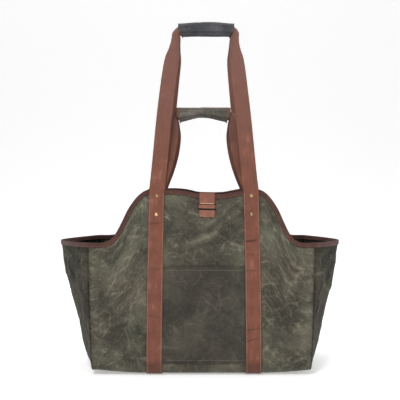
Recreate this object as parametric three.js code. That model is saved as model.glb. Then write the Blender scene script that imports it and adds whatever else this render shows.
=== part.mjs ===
// Canvas log carrier: an open bag of waxed canvas with raised front and rear panels,
// low bulging sides, webbing straps that run up into four handle loops, and two grips.
// Millimetres. +Z is up, the front panel faces -Y, and the straps lie on Z = 0.
import * as THREE from "three";

// The bag.
const BASE_LENGTH = 530; // seam to seam at the base
const MOUTH_LENGTH = 552; // seam to seam at the height of the side rim
const BASE_DEPTH = 290; // front to rear just above the bottom bend
const MOUTH_DEPTH = 164; // front rim to rear rim, at the straps
const PANEL_HEIGHT = 450; // floor to the rim at the straps
const SIDE_HEIGHT = 320; // floor to the rim at the side seams
const RIM_SAG = 12; // how far the rim hangs between the straps
const REACH_LEFT = 84; // how far a side bulges past its seams at the rim
const REACH_RIGHT = 76;
const GUSSET_SAG = 2; // how much lower the rim is at the side's fold
const BEND_RADIUS = 28; // where the panels turn under
const CORNER_LIFT = 9; // how far the base's corners stand off the floor
const PANEL_BELLY = 7; // outward swell of the panels
const FOLD_DEPTH = 5; // deepest of the drape's folds
const CANVAS = 1.5; // thickness of one layer

// The webbing.
const WEB_WIDTH = 38;
const WEB = 2; // thickness
const WEB_SPREAD_BASE = 242; // centre to centre at the base
const WEB_SPREAD_RIM = 233; // centre to centre at the rim
const WEB_SHIFT = 6; // how far the pair sits to the right of the bag's middle
const TAIL_LENGTH = 76; // sewn tail of a short handle, under the long strap

// The handles.
const LONG_GRIP_HEIGHT = 858; // floor to the grip's axis
const LONG_GRIP_LENGTH = 143;
const LONG_GRIP_SHIFT = 12;
const SHORT_GRIP_HEIGHT = 646;
const SHORT_GRIP_LENGTH = 139;
const SHORT_GRIP_SHIFT = 5;
const REAR_DRAW = 6; // how far the rear legs hang inward of the front ones, at mid-height
const GRIP_WALL = 1.5;
const GRIP_SLANT = 9; // how far the underside of a grip's end is cut back
const GRIP_EASE = 1.1; // room between a grip and the webbing in it

// Pocket, binding, tab and rivets.
const POCKET_TOP = 264;
const POCKET_BELLY = 4;
const POCKET_UNDER_STRAP = 23; // how far its sides run in under the straps
const BINDING_HEIGHT = 11;
const BINDING = 1; // thickness
const BINDING_EASE = 0.9;
const TAB_SHIFT = 14; // centre of the closure tab from the bag's middle
const TAB_WIDTH = 38;
const TAB_DROP = 37; // down the outside, from the rim
const TAB_INSIDE = 30; // down the inside
const PATCH_GAP = 2.5; // between the tab's end and the patch below it
const PATCH_HEIGHT = 17;
const RIVET_RADIUS = 4.2;
const RIVET_RISE = 1.8;
const RIVET_DROPS = [16, 61]; // below the rim

const GAP = 0.4; // left between layers that touch
const SEAM_GAP = 1; // between a panel's edge and the side sewn to it
const FLOOR_TO_CANVAS = WEB + GAP + CANVAS / 2;

const FRONT = -1;
const REAR = 1;
const LEFT = -1;
const RIGHT = 1;

// Small helpers for numbers.
const mix = (a, b, t) => a + (b - a) * t;
const clamp = (t) => Math.min(1, Math.max(0, t));
const smooth = (a, b, t) => {
  const s = clamp((t - a) / (b - a));
  return s * s * (3 - 2 * s);
};

// Reads a value from a table's rows as a smooth curve through them.
function curve(rows, key, value, at) {
  const last = rows.length - 2;
  let i = 0;
  while (i < last && rows[i + 1][key] < at) i += 1;
  const a = rows[i];
  const b = rows[i + 1];
  const step = b[key] - a[key];
  const slope = (j, k) => (rows[k][value] - rows[j][value]) / (rows[k][key] - rows[j][key]);
  const startSlope = i > 0 ? slope(i - 1, i + 1) : slope(i, i + 1);
  const endSlope = i < last ? slope(i, i + 2) : slope(i, i + 1);
  const t = clamp((at - a[key]) / step);
  const t2 = t * t;
  const t3 = t2 * t;
  return (
    (2 * t3 - 3 * t2 + 1) * a[value] +
    (t3 - 2 * t2 + t) * step * startSlope +
    (3 * t2 - 2 * t3) * b[value] +
    (t3 - t2) * step * endSlope
  );
}

// Front and rear panels: how they lean in.
// height: share of the panel's height. lean: share of the whole lean, base to rim.
const PANEL_LEAN = [
  { height: 0, lean: 0 },
  { height: 0.25, lean: 0.03 },
  { height: 0.5, lean: 0.18 },
  { height: 0.7, lean: 0.44 },
  { height: 0.85, lean: 0.71 },
  { height: 1, lean: 1 },
];

// The rim's S between a strap and the side seam.
// out: share of the way from the strap to the seam. rise: share of the climb.
const RIM_CURVE = [
  { out: 0, rise: 1 },
  { out: 0.085, rise: 0.962 },
  { out: 0.178, rise: 0.88 },
  { out: 0.262, rise: 0.765 },
  { out: 0.35, rise: 0.61 },
  { out: 0.433, rise: 0.41 },
  { out: 0.512, rise: 0.23 },
  { out: 0.58, rise: 0.115 },
  { out: 0.67, rise: 0.03 },
  { out: 0.8, rise: 0 },
  { out: 1, rise: 0 },
];

// The rim between the straps. across: share of the way from left to right.
const RIM_HANG = [
  { across: 0, sag: 0.42 },
  { across: 0.2, sag: 0.15 },
  { across: 0.34, sag: 0.4 },
  { across: 0.45, sag: 0.95 },
  { across: 0.68, sag: 1 },
  { across: 0.82, sag: 0.45 },
  { across: 0.93, sag: 0 },
  { across: 1, sag: 0 },
];

// Drape folds. x: share of the half-length. z: share of the panel's height.
// turn: degrees from level. length and width: shares of the half-length.
// depth: share of FOLD_DEPTH, where a dent is below zero.
const FRONT_FOLDS = [
  { x: 0.17, z: 0.86, turn: 34, length: 0.24, width: 0.075, depth: 0.7 },
  { x: 0.29, z: 0.82, turn: 40, length: 0.22, width: 0.07, depth: -0.7 },
  { x: -0.2, z: 0.86, turn: -32, length: 0.26, width: 0.08, depth: 0.75 },
  { x: -0.12, z: 0.78, turn: -28, length: 0.26, width: 0.08, depth: -0.6 },
  { x: 0.02, z: 0.69, turn: 16, length: 0.36, width: 0.07, depth: 0.6 },
  { x: 0.05, z: 0.61, turn: 8, length: 0.42, width: 0.07, depth: -0.5 },
  { x: 0.72, z: 0.5, turn: 58, length: 0.3, width: 0.09, depth: 0.8 },
  { x: 0.82, z: 0.38, turn: 66, length: 0.3, width: 0.08, depth: -0.7 },
  { x: -0.72, z: 0.52, turn: -55, length: 0.3, width: 0.09, depth: 0.8 },
  { x: -0.84, z: 0.36, turn: -68, length: 0.32, width: 0.08, depth: -0.7 },
  { x: -0.66, z: 0.22, turn: 20, length: 0.28, width: 0.09, depth: -0.6 },
  { x: 0.7, z: 0.2, turn: -18, length: 0.28, width: 0.09, depth: -0.6 },
];
const REAR_FOLDS = [
  { x: 0.22, z: 0.84, turn: 36, length: 0.26, width: 0.08, depth: -0.7 },
  { x: -0.16, z: 0.82, turn: -30, length: 0.28, width: 0.08, depth: 0.7 },
  { x: 0.04, z: 0.6, turn: -10, length: 0.42, width: 0.08, depth: -0.6 },
  { x: 0.74, z: 0.48, turn: 60, length: 0.3, width: 0.09, depth: -0.8 },
  { x: -0.74, z: 0.46, turn: -58, length: 0.3, width: 0.09, depth: 0.8 },
  { x: -0.1, z: 0.32, turn: 14, length: 0.4, width: 0.09, depth: 0.6 },
  { x: 0.68, z: 0.2, turn: -16, length: 0.28, width: 0.09, depth: 0.6 },
];

// How far a side bulges at a height. height: share of its own. reach: share of its whole reach.
const SIDE_REACH = [
  { height: 0, reach: 0 },
  { height: 0.03, reach: 0.2 },
  { height: 0.1, reach: 0.36 },
  { height: 0.25, reach: 0.48 },
  { height: 0.375, reach: 0.565 },
  { height: 0.5, reach: 0.665 },
  { height: 0.66, reach: 0.79 },
  { height: 0.83, reach: 0.92 },
  { height: 1, reach: 1 },
];

// Soft folds of a side. v: -1 at the front seam, 1 at the rear one. z: share of its height.
const SIDE_FOLDS = [
  { v: -0.45, z: 0.72, slope: 0.35, width: 0.16, depth: -0.9 },
  { v: 0.42, z: 0.66, slope: -0.3, width: 0.16, depth: -0.8 },
  { v: -0.1, z: 0.4, slope: 0.5, width: 0.18, depth: 0.5 },
];

const panelShare = (z) => z / PANEL_HEIGHT;
const seamX = (z) => mix(BASE_LENGTH, MOUTH_LENGTH, clamp(z / SIDE_HEIGHT)) / 2;
const webX = (hand, z) =>
  WEB_SHIFT + (hand * mix(WEB_SPREAD_BASE, WEB_SPREAD_RIM, clamp(panelShare(z)))) / 2;

// Sum of the folds at a place on a panel, faded out at the straps, rims and bends.
function drape(side, x, z) {
  const half = seamX(z);
  let sum = 0;
  for (const fold of side === FRONT ? FRONT_FOLDS : REAR_FOLDS) {
    const turn = THREE.MathUtils.degToRad(fold.turn);
    const dx = x - fold.x * half;
    const dz = z - fold.z * PANEL_HEIGHT;
    const along = (dx * Math.cos(turn) + dz * Math.sin(turn)) / (fold.length * half);
    const across = (dz * Math.cos(turn) - dx * Math.sin(turn)) / (fold.width * half);
    sum += fold.depth * Math.exp(-along * along - across * across);
  }
  let fade = smooth(0, 0.22, z / PANEL_HEIGHT) * smooth(0, 0.12, (half - Math.abs(x)) / half);
  for (const hand of [LEFT, RIGHT]) {
    fade *= smooth(0.5, 1.4, Math.abs(x - webX(hand, z)) / WEB_WIDTH);
  }
  return FOLD_DEPTH * sum * fade;
}

// Distance of a panel from the bag's middle plane, at a height.
function panelY(side, x, z) {
  const lean = curve(PANEL_LEAN, "height", "lean", panelShare(z));
  const depth = mix(BASE_DEPTH, MOUTH_DEPTH, lean) / 2;
  const middle = 1 - (x / seamX(z)) ** 2;
  const belly = PANEL_BELLY * middle * Math.sin(Math.PI * clamp(panelShare(z)));
  return side * (depth + belly + drape(side, x, z));
}

// Columns of the canvas, left to right, in blocks that end at the straps' and the tab's edges.
const BLOCKS = [
  { from: "seamLeft", cells: 8 },
  { from: "webLeftOuter", cells: 1 },
  { from: "webLeftInner", cells: 4 },
  { from: "tabLeft", cells: 1 },
  { from: "tabRight", cells: 4 },
  { from: "webRightInner", cells: 1 },
  { from: "webRightOuter", cells: 8 },
];

function blockEdges(z) {
  return [
    -seamX(z),
    webX(LEFT, z) - WEB_WIDTH / 2,
    webX(LEFT, z) + WEB_WIDTH / 2,
    TAB_SHIFT - TAB_WIDTH / 2,
    TAB_SHIFT + TAB_WIDTH / 2,
    webX(RIGHT, z) - WEB_WIDTH / 2,
    webX(RIGHT, z) + WEB_WIDTH / 2,
    seamX(z),
  ];
}

const COLUMNS = [];
BLOCKS.forEach((block, b) => {
  for (let i = 0; i < block.cells; i += 1) COLUMNS.push({ block: b, share: i / block.cells });
});
COLUMNS.push({ block: BLOCKS.length - 1, share: 1 });
const columnAt = (name) => COLUMNS.findIndex((c) => BLOCKS[c.block].from === name);

function columnX(column, z) {
  const edges = blockEdges(z);
  return mix(edges[column.block], edges[column.block + 1], column.share);
}

// Height of the rim at a column.
function rimZ(column) {
  const last = BLOCKS.length - 1;
  if (column.block === 0 || column.block === last) {
    const out = column.block === 0 ? 1 - column.share : column.share;
    return mix(SIDE_HEIGHT, PANEL_HEIGHT, curve(RIM_CURVE, "out", "rise", out));
  }
  const edges = blockEdges(PANEL_HEIGHT);
  const across = (columnX(column, PANEL_HEIGHT) - edges[1]) / (edges[last] - edges[1]);
  return PANEL_HEIGHT - RIM_SAG * curve(RIM_HANG, "across", "sag", clamp(across));
}

// Rows of a panel from the rim down to the middle of the base.
const PANEL_ROWS = [
  "rim", "binding", "", "", "tail", "", "pocket", "", "", "", "bend", "", "", "", "base", "", "middle",
];
const ROW = Object.fromEntries(PANEL_ROWS.map((name, row) => [name, row]));

function rowZ(column, row) {
  const rim = rimZ(column);
  const bendTop = FLOOR_TO_CANVAS + BEND_RADIUS;
  const tailShare = (PANEL_HEIGHT - TAIL_LENGTH - POCKET_TOP) / (PANEL_HEIGHT - POCKET_TOP);
  const bound = rim - Math.min(BINDING_HEIGHT + 2, (rim - POCKET_TOP) * 0.3);
  const tail = mix(POCKET_TOP, rim, Math.min(tailShare, (bound - POCKET_TOP - 4) / (rim - POCKET_TOP)));
  if (row <= ROW.binding) return row === ROW.rim ? rim : bound;
  if (row <= ROW.tail) return mix(bound, tail, (row - ROW.binding) / (ROW.tail - ROW.binding));
  if (row <= ROW.pocket) return mix(tail, POCKET_TOP, (row - ROW.tail) / (ROW.pocket - ROW.tail));
  return mix(POCKET_TOP, bendTop, (row - ROW.pocket) / (ROW.bend - ROW.pocket));
}

// A point of the canvas' middle surface.
function canvasPoint(side, column, row) {
  const bendTop = FLOOR_TO_CANVAS + BEND_RADIUS;
  if (row <= ROW.bend) {
    const z = rowZ(column, row);
    const x = columnX(column, z);
    return new THREE.Vector3(x, panelY(side, x, z), z);
  }
  const x = columnX(column, 0);
  const edges = blockEdges(0);
  const past = Math.max(0, -x + edges[1], x - edges[6]) / (edges[7] - edges[6]);
  const lift = CORNER_LIFT * clamp(past) ** 2;
  const bendY = panelY(side, columnX(column, bendTop), bendTop);
  const flatY = bendY - side * BEND_RADIUS;
  if (row <= ROW.base) {
    const t = (row - ROW.bend) / (ROW.base - ROW.bend);
    const angle = (t * Math.PI) / 2;
    return new THREE.Vector3(
      mix(columnX(column, bendTop), x, t),
      flatY + side * BEND_RADIUS * Math.cos(angle),
      bendTop - BEND_RADIUS * Math.sin(angle) + lift * t,
    );
  }
  const t = (row - ROW.base) / (ROW.middle - ROW.base);
  return new THREE.Vector3(x, mix(flatY, 0, t), FLOOR_TO_CANVAS + lift);
}

// Unit normals of a grid of points, pointing to the left of its first direction.
function gridNormals(grid, loopI, loopJ) {
  const n = grid.length;
  const m = grid[0].length;
  const pick = (i, j) => {
    const a = loopI ? (i + n) % n : Math.min(n - 1, Math.max(0, i));
    const b = loopJ ? (j + m) % m : Math.min(m - 1, Math.max(0, j));
    return grid[a][b];
  };
  return grid.map((line, i) =>
    line.map((_, j) => {
      const u = pick(i + 1, j).clone().sub(pick(i - 1, j));
      const v = pick(i, j + 1).clone().sub(pick(i, j - 1));
      return u.cross(v).normalize();
    }),
  );
}

// A closed sheet of even thickness about a grid of middle points.
function sheet(grid, wall, { loopI = false, loopJ = false, normals = null } = {}) {
  const n = grid.length;
  const m = grid[0].length;
  const unit = normals || gridNormals(grid, loopI, loopJ);
  const vertices = [];
  const faces = [];
  for (const half of [wall / 2, -wall / 2]) {
    grid.forEach((line, i) =>
      line.forEach((point, j) => {
        const p = point.clone().addScaledVector(unit[i][j], half);
        vertices.push(p.x, p.y, p.z);
      }),
    );
  }
  const at = (layer, i, j) => layer * n * m + (i % n) * m + (j % m);
  const quad = (a, b, c, d) => faces.push(a, b, c, a, c, d);
  const lastI = loopI ? n : n - 1;
  const lastJ = loopJ ? m : m - 1;
  for (let i = 0; i < lastI; i += 1) {
    for (let j = 0; j < lastJ; j += 1) {
      quad(at(0, i, j), at(0, i + 1, j), at(0, i + 1, j + 1), at(0, i, j + 1));
      quad(at(1, i, j), at(1, i, j + 1), at(1, i + 1, j + 1), at(1, i + 1, j));
    }
  }
  if (!loopJ) {
    for (let i = 0; i < lastI; i += 1) {
      quad(at(0, i, 0), at(1, i, 0), at(1, i + 1, 0), at(0, i + 1, 0));
      quad(at(0, i + 1, m - 1), at(1, i + 1, m - 1), at(1, i, m - 1), at(0, i, m - 1));
    }
  }
  if (!loopI) {
    for (let j = 0; j < lastJ; j += 1) {
      quad(at(0, 0, j + 1), at(1, 0, j + 1), at(1, 0, j), at(0, 0, j));
      quad(at(0, n - 1, j), at(1, n - 1, j), at(1, n - 1, j + 1), at(0, n - 1, j + 1));
    }
  }
  const geometry = new THREE.BufferGeometry();
  geometry.setAttribute("position", new THREE.Float32BufferAttribute(vertices, 3));
  geometry.setIndex(faces);
  return outward(geometry);
}

// Turns a closed mesh's faces out, if its volume comes out below zero.
function outward(geometry) {
  const index = geometry.index.array;
  const p = geometry.attributes.position;
  const a = new THREE.Vector3();
  const b = new THREE.Vector3();
  const c = new THREE.Vector3();
  let volume = 0;
  for (let i = 0; i < index.length; i += 3) {
    a.fromBufferAttribute(p, index[i]);
    b.fromBufferAttribute(p, index[i + 1]);
    c.fromBufferAttribute(p, index[i + 2]);
    volume += a.dot(b.cross(c));
  }
  if (volume < 0) {
    for (let i = 0; i < index.length; i += 3) {
      [index[i + 1], index[i + 2]] = [index[i + 2], index[i + 1]];
    }
  }
  geometry.computeVertexNormals();
  return geometry;
}

const canvas = { color: 0x4c4a3c, roughness: 0.78 };
const darkCanvas = { color: 0x45484a, roughness: 0.75 };
const webbing = { color: 0x7d4634, roughness: 0.85 };
const trim = { color: 0x53322c, roughness: 0.7 };
const brass = { color: 0xb98a5a, roughness: 0.35, metalness: 1 };

// The group is moved so that the middle of its length, side to side, is at X = 0.
const group = new THREE.Group();
group.name = "canvas_log_carrier";
group.position.x = (REACH_LEFT - REACH_RIGHT) / 2;

function add(name, geometry, look) {
  const mesh = new THREE.Mesh(geometry, new THREE.MeshStandardMaterial(look));
  mesh.name = name;
  group.add(mesh);
  return mesh;
}

// Body: one piece of canvas, down the front, across the base and up the rear.
const ROWS = Array.from({ length: ROW.middle + 1 }, (_, row) => row);
const bodyGrid = COLUMNS.map((column) => [
  ...ROWS.map((row) => canvasPoint(FRONT, column, row)),
  ...ROWS.slice(0, -1).reverse().map((row) => canvasPoint(REAR, column, row)),
]);
const bodyNormals = gridNormals(bodyGrid, false, false).map((line) =>
  line.map((normal) => normal.negate()),
);
add("body_canvas", sheet(bodyGrid, CANVAS, { normals: bodyNormals }), canvas);

// The canvas' middle point and outward normal at a column and row of one side.
function onBody(side, k, row) {
  const j = side === FRONT ? row : 2 * ROW.middle - row;
  return { p: bodyGrid[k][j], n: bodyNormals[k][j] };
}

// The same at a height on a column, on the straight line between two rows.
function onColumn(side, k, z) {
  let row = 0;
  while (row < ROW.bend - 1 && onBody(side, k, row + 1).p.z > z) row += 1;
  const a = onBody(side, k, row);
  const b = onBody(side, k, row + 1);
  const t = clamp((z - a.p.z) / (b.p.z - a.p.z));
  return { p: a.p.clone().lerp(b.p, t), n: a.n.clone().lerp(b.n, t).normalize() };
}

const lifted = (place, distance) => place.p.clone().addScaledVector(place.n, distance);

// Sides: one gusset each, sewn to the panels and the base, folded outward at the rim.
const GUSSET_CELLS = 10;

function gussetGrid(hand) {
  const k = hand === LEFT ? 0 : COLUMNS.length - 1;
  const foot = onBody(FRONT, k, ROW.base).p.z;
  const rows = [];
  for (let row = ROW.base; row >= ROW.rim; row -= 1) {
    const front = onBody(FRONT, k, row).p;
    const rear = onBody(REAR, k, row).p;
    const share = clamp((front.z - foot) / (SIDE_HEIGHT - foot));
    const bulge = (hand === LEFT ? REACH_LEFT : REACH_RIGHT) * curve(SIDE_REACH, "height", "reach", share);
    const line = [];
    for (let c = 0; c <= GUSSET_CELLS; c += 1) {
      const v = (2 * c) / GUSSET_CELLS - 1;
      const point = front.clone().lerp(rear, (v + 1) / 2);
      const swell = 1 - Math.abs(v) ** 1.55;
      let soft = 0;
      for (const fold of SIDE_FOLDS) {
        const away = (v - fold.v - fold.slope * (share - fold.z)) / fold.width;
        soft += fold.depth * Math.exp(-away * away);
      }
      soft *= FOLD_DEPTH * smooth(0.1, 0.5, share) * smooth(0, 0.4, 1 - Math.abs(v));
      point.x += hand * (SEAM_GAP + bulge * swell + soft * smooth(0, 0.25, 1 - share));
      point.z -= GUSSET_SAG * swell * share ** 3;
      line.push(point);
    }
    rows.push(line);
  }
  return rows;
}
const gussets = { [LEFT]: gussetGrid(LEFT), [RIGHT]: gussetGrid(RIGHT) };
add("side_gusset_left", sheet(gussets[LEFT], CANVAS), canvas);
add("side_gusset_right", sheet(gussets[RIGHT], CANVAS), canvas);

// Binding: a folded tape over the whole rim, front, sides and rear, as one loop.
function bindingStations() {
  const stations = [];
  const last = COLUMNS.length - 1;
  const edge = (p, inner, n) => stations.push({ p, n, down: inner.clone().sub(p) });
  const panel = (side, order) =>
    order.slice(1, -1).forEach((k) => {
      const here = onBody(side, k, ROW.rim);
      edge(here.p, onBody(side, k, ROW.binding).p, here.n.clone());
    });
  const gusset = (hand, order) => {
    const grid = gussets[hand];
    const normals = gridNormals(grid, false, false);
    const rim = grid.length - 1;
    const sign = Math.sign(normals[rim][GUSSET_CELLS / 2].x) * hand;
    order.forEach((c) => {
      const n = normals[rim][c].clone().multiplyScalar(sign);
      const corner = c === 0 || c === GUSSET_CELLS;
      if (corner) {
        const k = hand === LEFT ? 0 : last;
        const flat = onBody(c === 0 ? FRONT : REAR, k, ROW.rim);
        const sum = n.clone().add(flat.n);
        const miter = 2 / sum.lengthSq();
        const middle = grid[rim][c].clone().lerp(flat.p, 0.5);
        edge(middle, grid[rim - 1][c], sum.multiplyScalar(miter));
      } else {
        edge(grid[rim][c], grid[rim - 1][c], n);
      }
    });
  };
  const across = COLUMNS.map((_, k) => k);
  const round = Array.from({ length: GUSSET_CELLS + 1 }, (_, c) => c);
  panel(FRONT, across);
  gusset(RIGHT, round);
  panel(REAR, [...across].reverse());
  gusset(LEFT, [...round].reverse());
  return stations;
}

const bindingOffset = CANVAS / 2 + BINDING_EASE + BINDING / 2;
const rimLoop = bindingStations();
const bindingGrid = rimLoop.map((station, i) => {
  const before = rimLoop[(i + rimLoop.length - 1) % rimLoop.length].p;
  const after = rimLoop[(i + 1) % rimLoop.length].p;
  const along = after.clone().sub(before).normalize();
  const flat = station.n.clone().normalize();
  const down = along.clone().cross(flat).normalize();
  if (down.dot(station.down) < 0) down.negate();
  const side = (sign, drop) =>
    station.p
      .clone()
      .addScaledVector(station.n, sign * bindingOffset)
      .addScaledVector(down, drop);
  const top = -(BINDING_EASE + BINDING / 2);
  return [side(1, BINDING_HEIGHT), side(1, top), side(-1, top), side(-1, BINDING_HEIGHT)];
});
add("rim_binding", sheet(bindingGrid, BINDING, { loopI: true }), trim);

// Front pocket: a flat patch whose sides are caught under the straps.
function pocketGrid() {
  const caught = POCKET_UNDER_STRAP / WEB_WIDTH;
  const leftOuter = columnAt("webLeftOuter");
  const leftInner = columnAt("webLeftInner");
  const rightInner = columnAt("webRightInner");
  const rightOuter = columnAt("webRightOuter");
  const offset = CANVAS + GAP;
  const between = (a, b, t, row) => {
    const start = lifted(onBody(FRONT, a, row), offset);
    return start.lerp(lifted(onBody(FRONT, b, row), offset), t);
  };
  const grid = [];
  for (let k = leftInner - 1; k <= rightInner + 1; k += 1) {
    const line = [];
    for (let row = ROW.pocket; row <= ROW.bend; row += 1) {
      if (k < leftInner) {
        line.push(between(leftInner, leftOuter, caught, row));
      } else if (k > rightInner) {
        line.push(between(rightInner, rightOuter, caught, row));
      } else {
        const u = (k - leftInner) / (rightInner - leftInner);
        const v = (row - ROW.pocket) / (ROW.bend - ROW.pocket);
        const full = Math.sin(Math.PI * u) * Math.sin(Math.PI * mix(0.18, 1, v));
        line.push(lifted(onBody(FRONT, k, row), offset + POCKET_BELLY * full));
      }
    }
    grid.push(line);
  }
  return grid;
}
add("front_pocket", sheet(pocketGrid(), CANVAS), canvas);

// Webbing. The section is a row of five points from the outer to the inner edge, which
// can be curled lengthwise. curl: 0 is flat, 1 is half a round, 2 is folded narrow.
const CURL = [
  { curl: 0, near: 0, far: 0 },
  { curl: 1, near: 20, far: 60 },
  { curl: 2, near: 55, far: 75 },
];

function curled(curl) {
  const step = WEB_WIDTH / 4;
  const near = THREE.MathUtils.degToRad(curve(CURL, "curl", "near", curl));
  const far = THREE.MathUtils.degToRad(curve(CURL, "curl", "far", curl));
  const quarter = { out: step * Math.cos(near), back: step * Math.sin(near) };
  const edge = {
    out: quarter.out + step * Math.cos(far),
    back: quarter.back + step * Math.sin(far),
  };
  return [
    edge,
    quarter,
    { out: 0, back: 0 },
    { out: -quarter.out, back: quarter.back },
    { out: -edge.out, back: edge.back },
  ];
}

// The webbing's own middle surface lies this far from the canvas' middle surface.
const onCanvas = CANVAS / 2 + GAP + WEB / 2;
const overBinding = CANVAS / 2 + BINDING_EASE + BINDING + GAP + WEB / 2;

function tailLift(row) {
  return row <= ROW.binding ? overBinding : onCanvas;
}

function strapLift(side, row) {
  if (row <= ROW.tail) return tailLift(row) + WEB + GAP;
  const pocketed = side === FRONT && row >= ROW.pocket && row <= ROW.bend;
  return onCanvas + (pocketed ? CANVAS + GAP : 0);
}

// One station of webbing on a panel, from the outer to the inner edge.
function panelStation(side, hand, row, distance) {
  const outer = columnAt(hand === LEFT ? "webLeftOuter" : "webRightOuter");
  const inner = columnAt(hand === LEFT ? "webLeftInner" : "webRightInner");
  const a = lifted(onBody(side, outer, row), distance);
  const b = lifted(onBody(side, inner, row), distance);
  if (row === ROW.middle) {
    a.y = (side * GAP) / 2;
    b.y = a.y;
  }
  return [0, 1, 2, 3, 4].map((j) => a.clone().lerp(b, j / 4));
}

// Handle loops. rise: share of the height from the rim to the grip's axis.
// span: share of the way from the grip's end (0) out to the strap at the rim (1).
const LONG_LEG = [
  { rise: 0.06, span: 0.935, curl: 0 },
  { rise: 0.16, span: 0.85, curl: 0 },
  { rise: 0.28, span: 0.755, curl: 0 },
  { rise: 0.41, span: 0.65, curl: 0 },
  { rise: 0.55, span: 0.515, curl: 0 },
  { rise: 0.69, span: 0.365, curl: 0.05 },
  { rise: 0.81, span: 0.23, curl: 0.2 },
  { rise: 0.875, span: 0.165, curl: 0.65 },
  { rise: 0.912, span: 0.133, curl: 1.2 },
  { rise: 0.944, span: 0.1, curl: 1.8 },
  { rise: 0.968, span: 0.08, curl: 1.95 },
];
const SHORT_LEG = [
  { rise: 0.1, span: 0.86, curl: 0 },
  { rise: 0.22, span: 0.7, curl: 0 },
  { rise: 0.36, span: 0.54, curl: 0 },
  { rise: 0.5, span: 0.41, curl: 0.05 },
  { rise: 0.64, span: 0.31, curl: 0.2 },
  { rise: 0.76, span: 0.23, curl: 0.7 },
  { rise: 0.86, span: 0.16, curl: 1.4 },
  { rise: 0.92, span: 0.09, curl: 1.8 },
];

// Inside a grip. along: share of its half-length. dip: millimetre drop of the webbing.
// sink: drop of the grip's own axis. tall: extra room over the webbing at that place.
const LONG_INSIDE = [
  { along: 1, dip: 7.5, curl: 1.95, sink: 3, tall: 0.7 },
  { along: 0.9, dip: 4, curl: 1.7, sink: 2.4, tall: 0.6 },
  { along: 0.6, dip: 1.2, curl: 1.25, sink: 1, tall: 0.3 },
  { along: 0.3, dip: 0.3, curl: 1.02, sink: 0.3, tall: 0.1 },
  { along: 0, dip: 0, curl: 1, sink: 0, tall: 0 },
];
const SHORT_INSIDE = [
  { along: 1, dip: 9.5, curl: 1.8, sink: 7, tall: 3.6 },
  { along: 0.85, dip: 7, curl: 1.75, sink: 6, tall: 3.2 },
  { along: 0.55, dip: 3.6, curl: 1.8, sink: 3.6, tall: 1.8 },
  { along: 0.25, dip: 1, curl: 1.95, sink: 1, tall: 0.2 },
  { along: 0, dip: 0, curl: 2, sink: 0, tall: 0 },
];

const LONG = {
  leg: LONG_LEG,
  inside: LONG_INSIDE,
  height: LONG_GRIP_HEIGHT,
  half: LONG_GRIP_LENGTH / 2,
  shift: LONG_GRIP_SHIFT,
};
const SHORT = {
  leg: SHORT_LEG,
  inside: SHORT_INSIDE,
  height: SHORT_GRIP_HEIGHT,
  half: SHORT_GRIP_LENGTH / 2,
  shift: SHORT_GRIP_SHIFT,
};

// How far the middle of the curled webbing stands off the plane between the loops.
const halfDepth = (curl) => curled(curl)[0].back + WEB / 2 + GAP;

// Middle line of one half of a loop, from the rim to the middle of the grip.
function halfPath(side, hand, kind, start) {
  const points = [];
  const bottom = PANEL_HEIGHT;
  const climb = kind.height - bottom;
  const out = Math.abs(start.x - WEB_SHIFT);
  const grip = halfDepth(kind.inside[0].curl);
  for (const row of kind.leg) {
    const middle = mix(WEB_SHIFT, kind.shift, row.rise ** 8);
    const draw = side === REAR ? REAR_DRAW * Math.sin(Math.PI * row.rise) : 0;
    const span = mix(kind.half, out, row.span) - draw;
    points.push({
      p: new THREE.Vector3(
        middle + hand * span,
        side * mix(Math.abs(start.y), grip, row.rise),
        bottom + climb * row.rise,
      ),
      curl: row.curl,
    });
  }
  for (const row of kind.inside) {
    points.push({
      p: new THREE.Vector3(
        kind.shift + hand * kind.half * row.along,
        side * halfDepth(row.curl),
        kind.height - row.dip,
      ),
      curl: row.curl,
    });
  }
  return points;
}

// Stations of the free part of a loop: up the left leg, through the grip, down the right.
function freeStations(side, kind, startLeft, startRight) {
  const left = halfPath(side, LEFT, kind, startLeft);
  const right = halfPath(side, RIGHT, kind, startRight);
  const path = [...left, ...right.slice(0, -1).reverse()];
  const face = new THREE.Vector3(0, side, 0);
  return path.map((here, i) => {
    const before = i > 0 ? path[i - 1].p : startLeft;
    const after = i < path.length - 1 ? path[i + 1].p : startRight;
    const along = after.clone().sub(before).normalize();
    const front = face.clone().addScaledVector(along, -along.dot(face)).normalize();
    const outer = front.clone().cross(along).multiplyScalar(-side);
    return curled(here.curl).map((q) =>
      here.p.clone().addScaledVector(outer, q.out).addScaledVector(front, -q.back),
    );
  });
}

function centre(station) {
  return station[2];
}

// Long strap: from under the base up a panel, through the upper grip and back down.
function longStrap(side) {
  const climb = (hand) =>
    ROWS.map((row) => panelStation(side, hand, row, strapLift(side, row))).reverse();
  const left = climb(LEFT);
  const right = climb(RIGHT).reverse();
  const free = freeStations(side, LONG, centre(left[left.length - 1]), centre(right[0]));
  return [...left, ...free, ...right];
}

// Short handle: its tails lie between the panel and the long strap.
function shortHandle(side) {
  const tail = (hand) =>
    ROWS.slice(0, ROW.tail + 1)
      .map((row) => panelStation(side, hand, row, tailLift(row)))
      .reverse();
  const left = tail(LEFT);
  const right = tail(RIGHT).reverse();
  const free = freeStations(side, SHORT, centre(left[left.length - 1]), centre(right[0]));
  return [...left, ...free, ...right];
}

add("front_long_strap", sheet(longStrap(FRONT), WEB), webbing);
add("rear_long_strap", sheet(longStrap(REAR), WEB), webbing);
add("front_short_handle", sheet(shortHandle(FRONT), WEB), webbing);
add("rear_short_handle", sheet(shortHandle(REAR), WEB), webbing);

// Grips: a canvas sleeve round both webbings, as tight as they let it be.
const GRIP_SIDES = 14;
const GRIP_SQUARE = 2.4; // 2 is an ellipse, more is squarer

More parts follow.
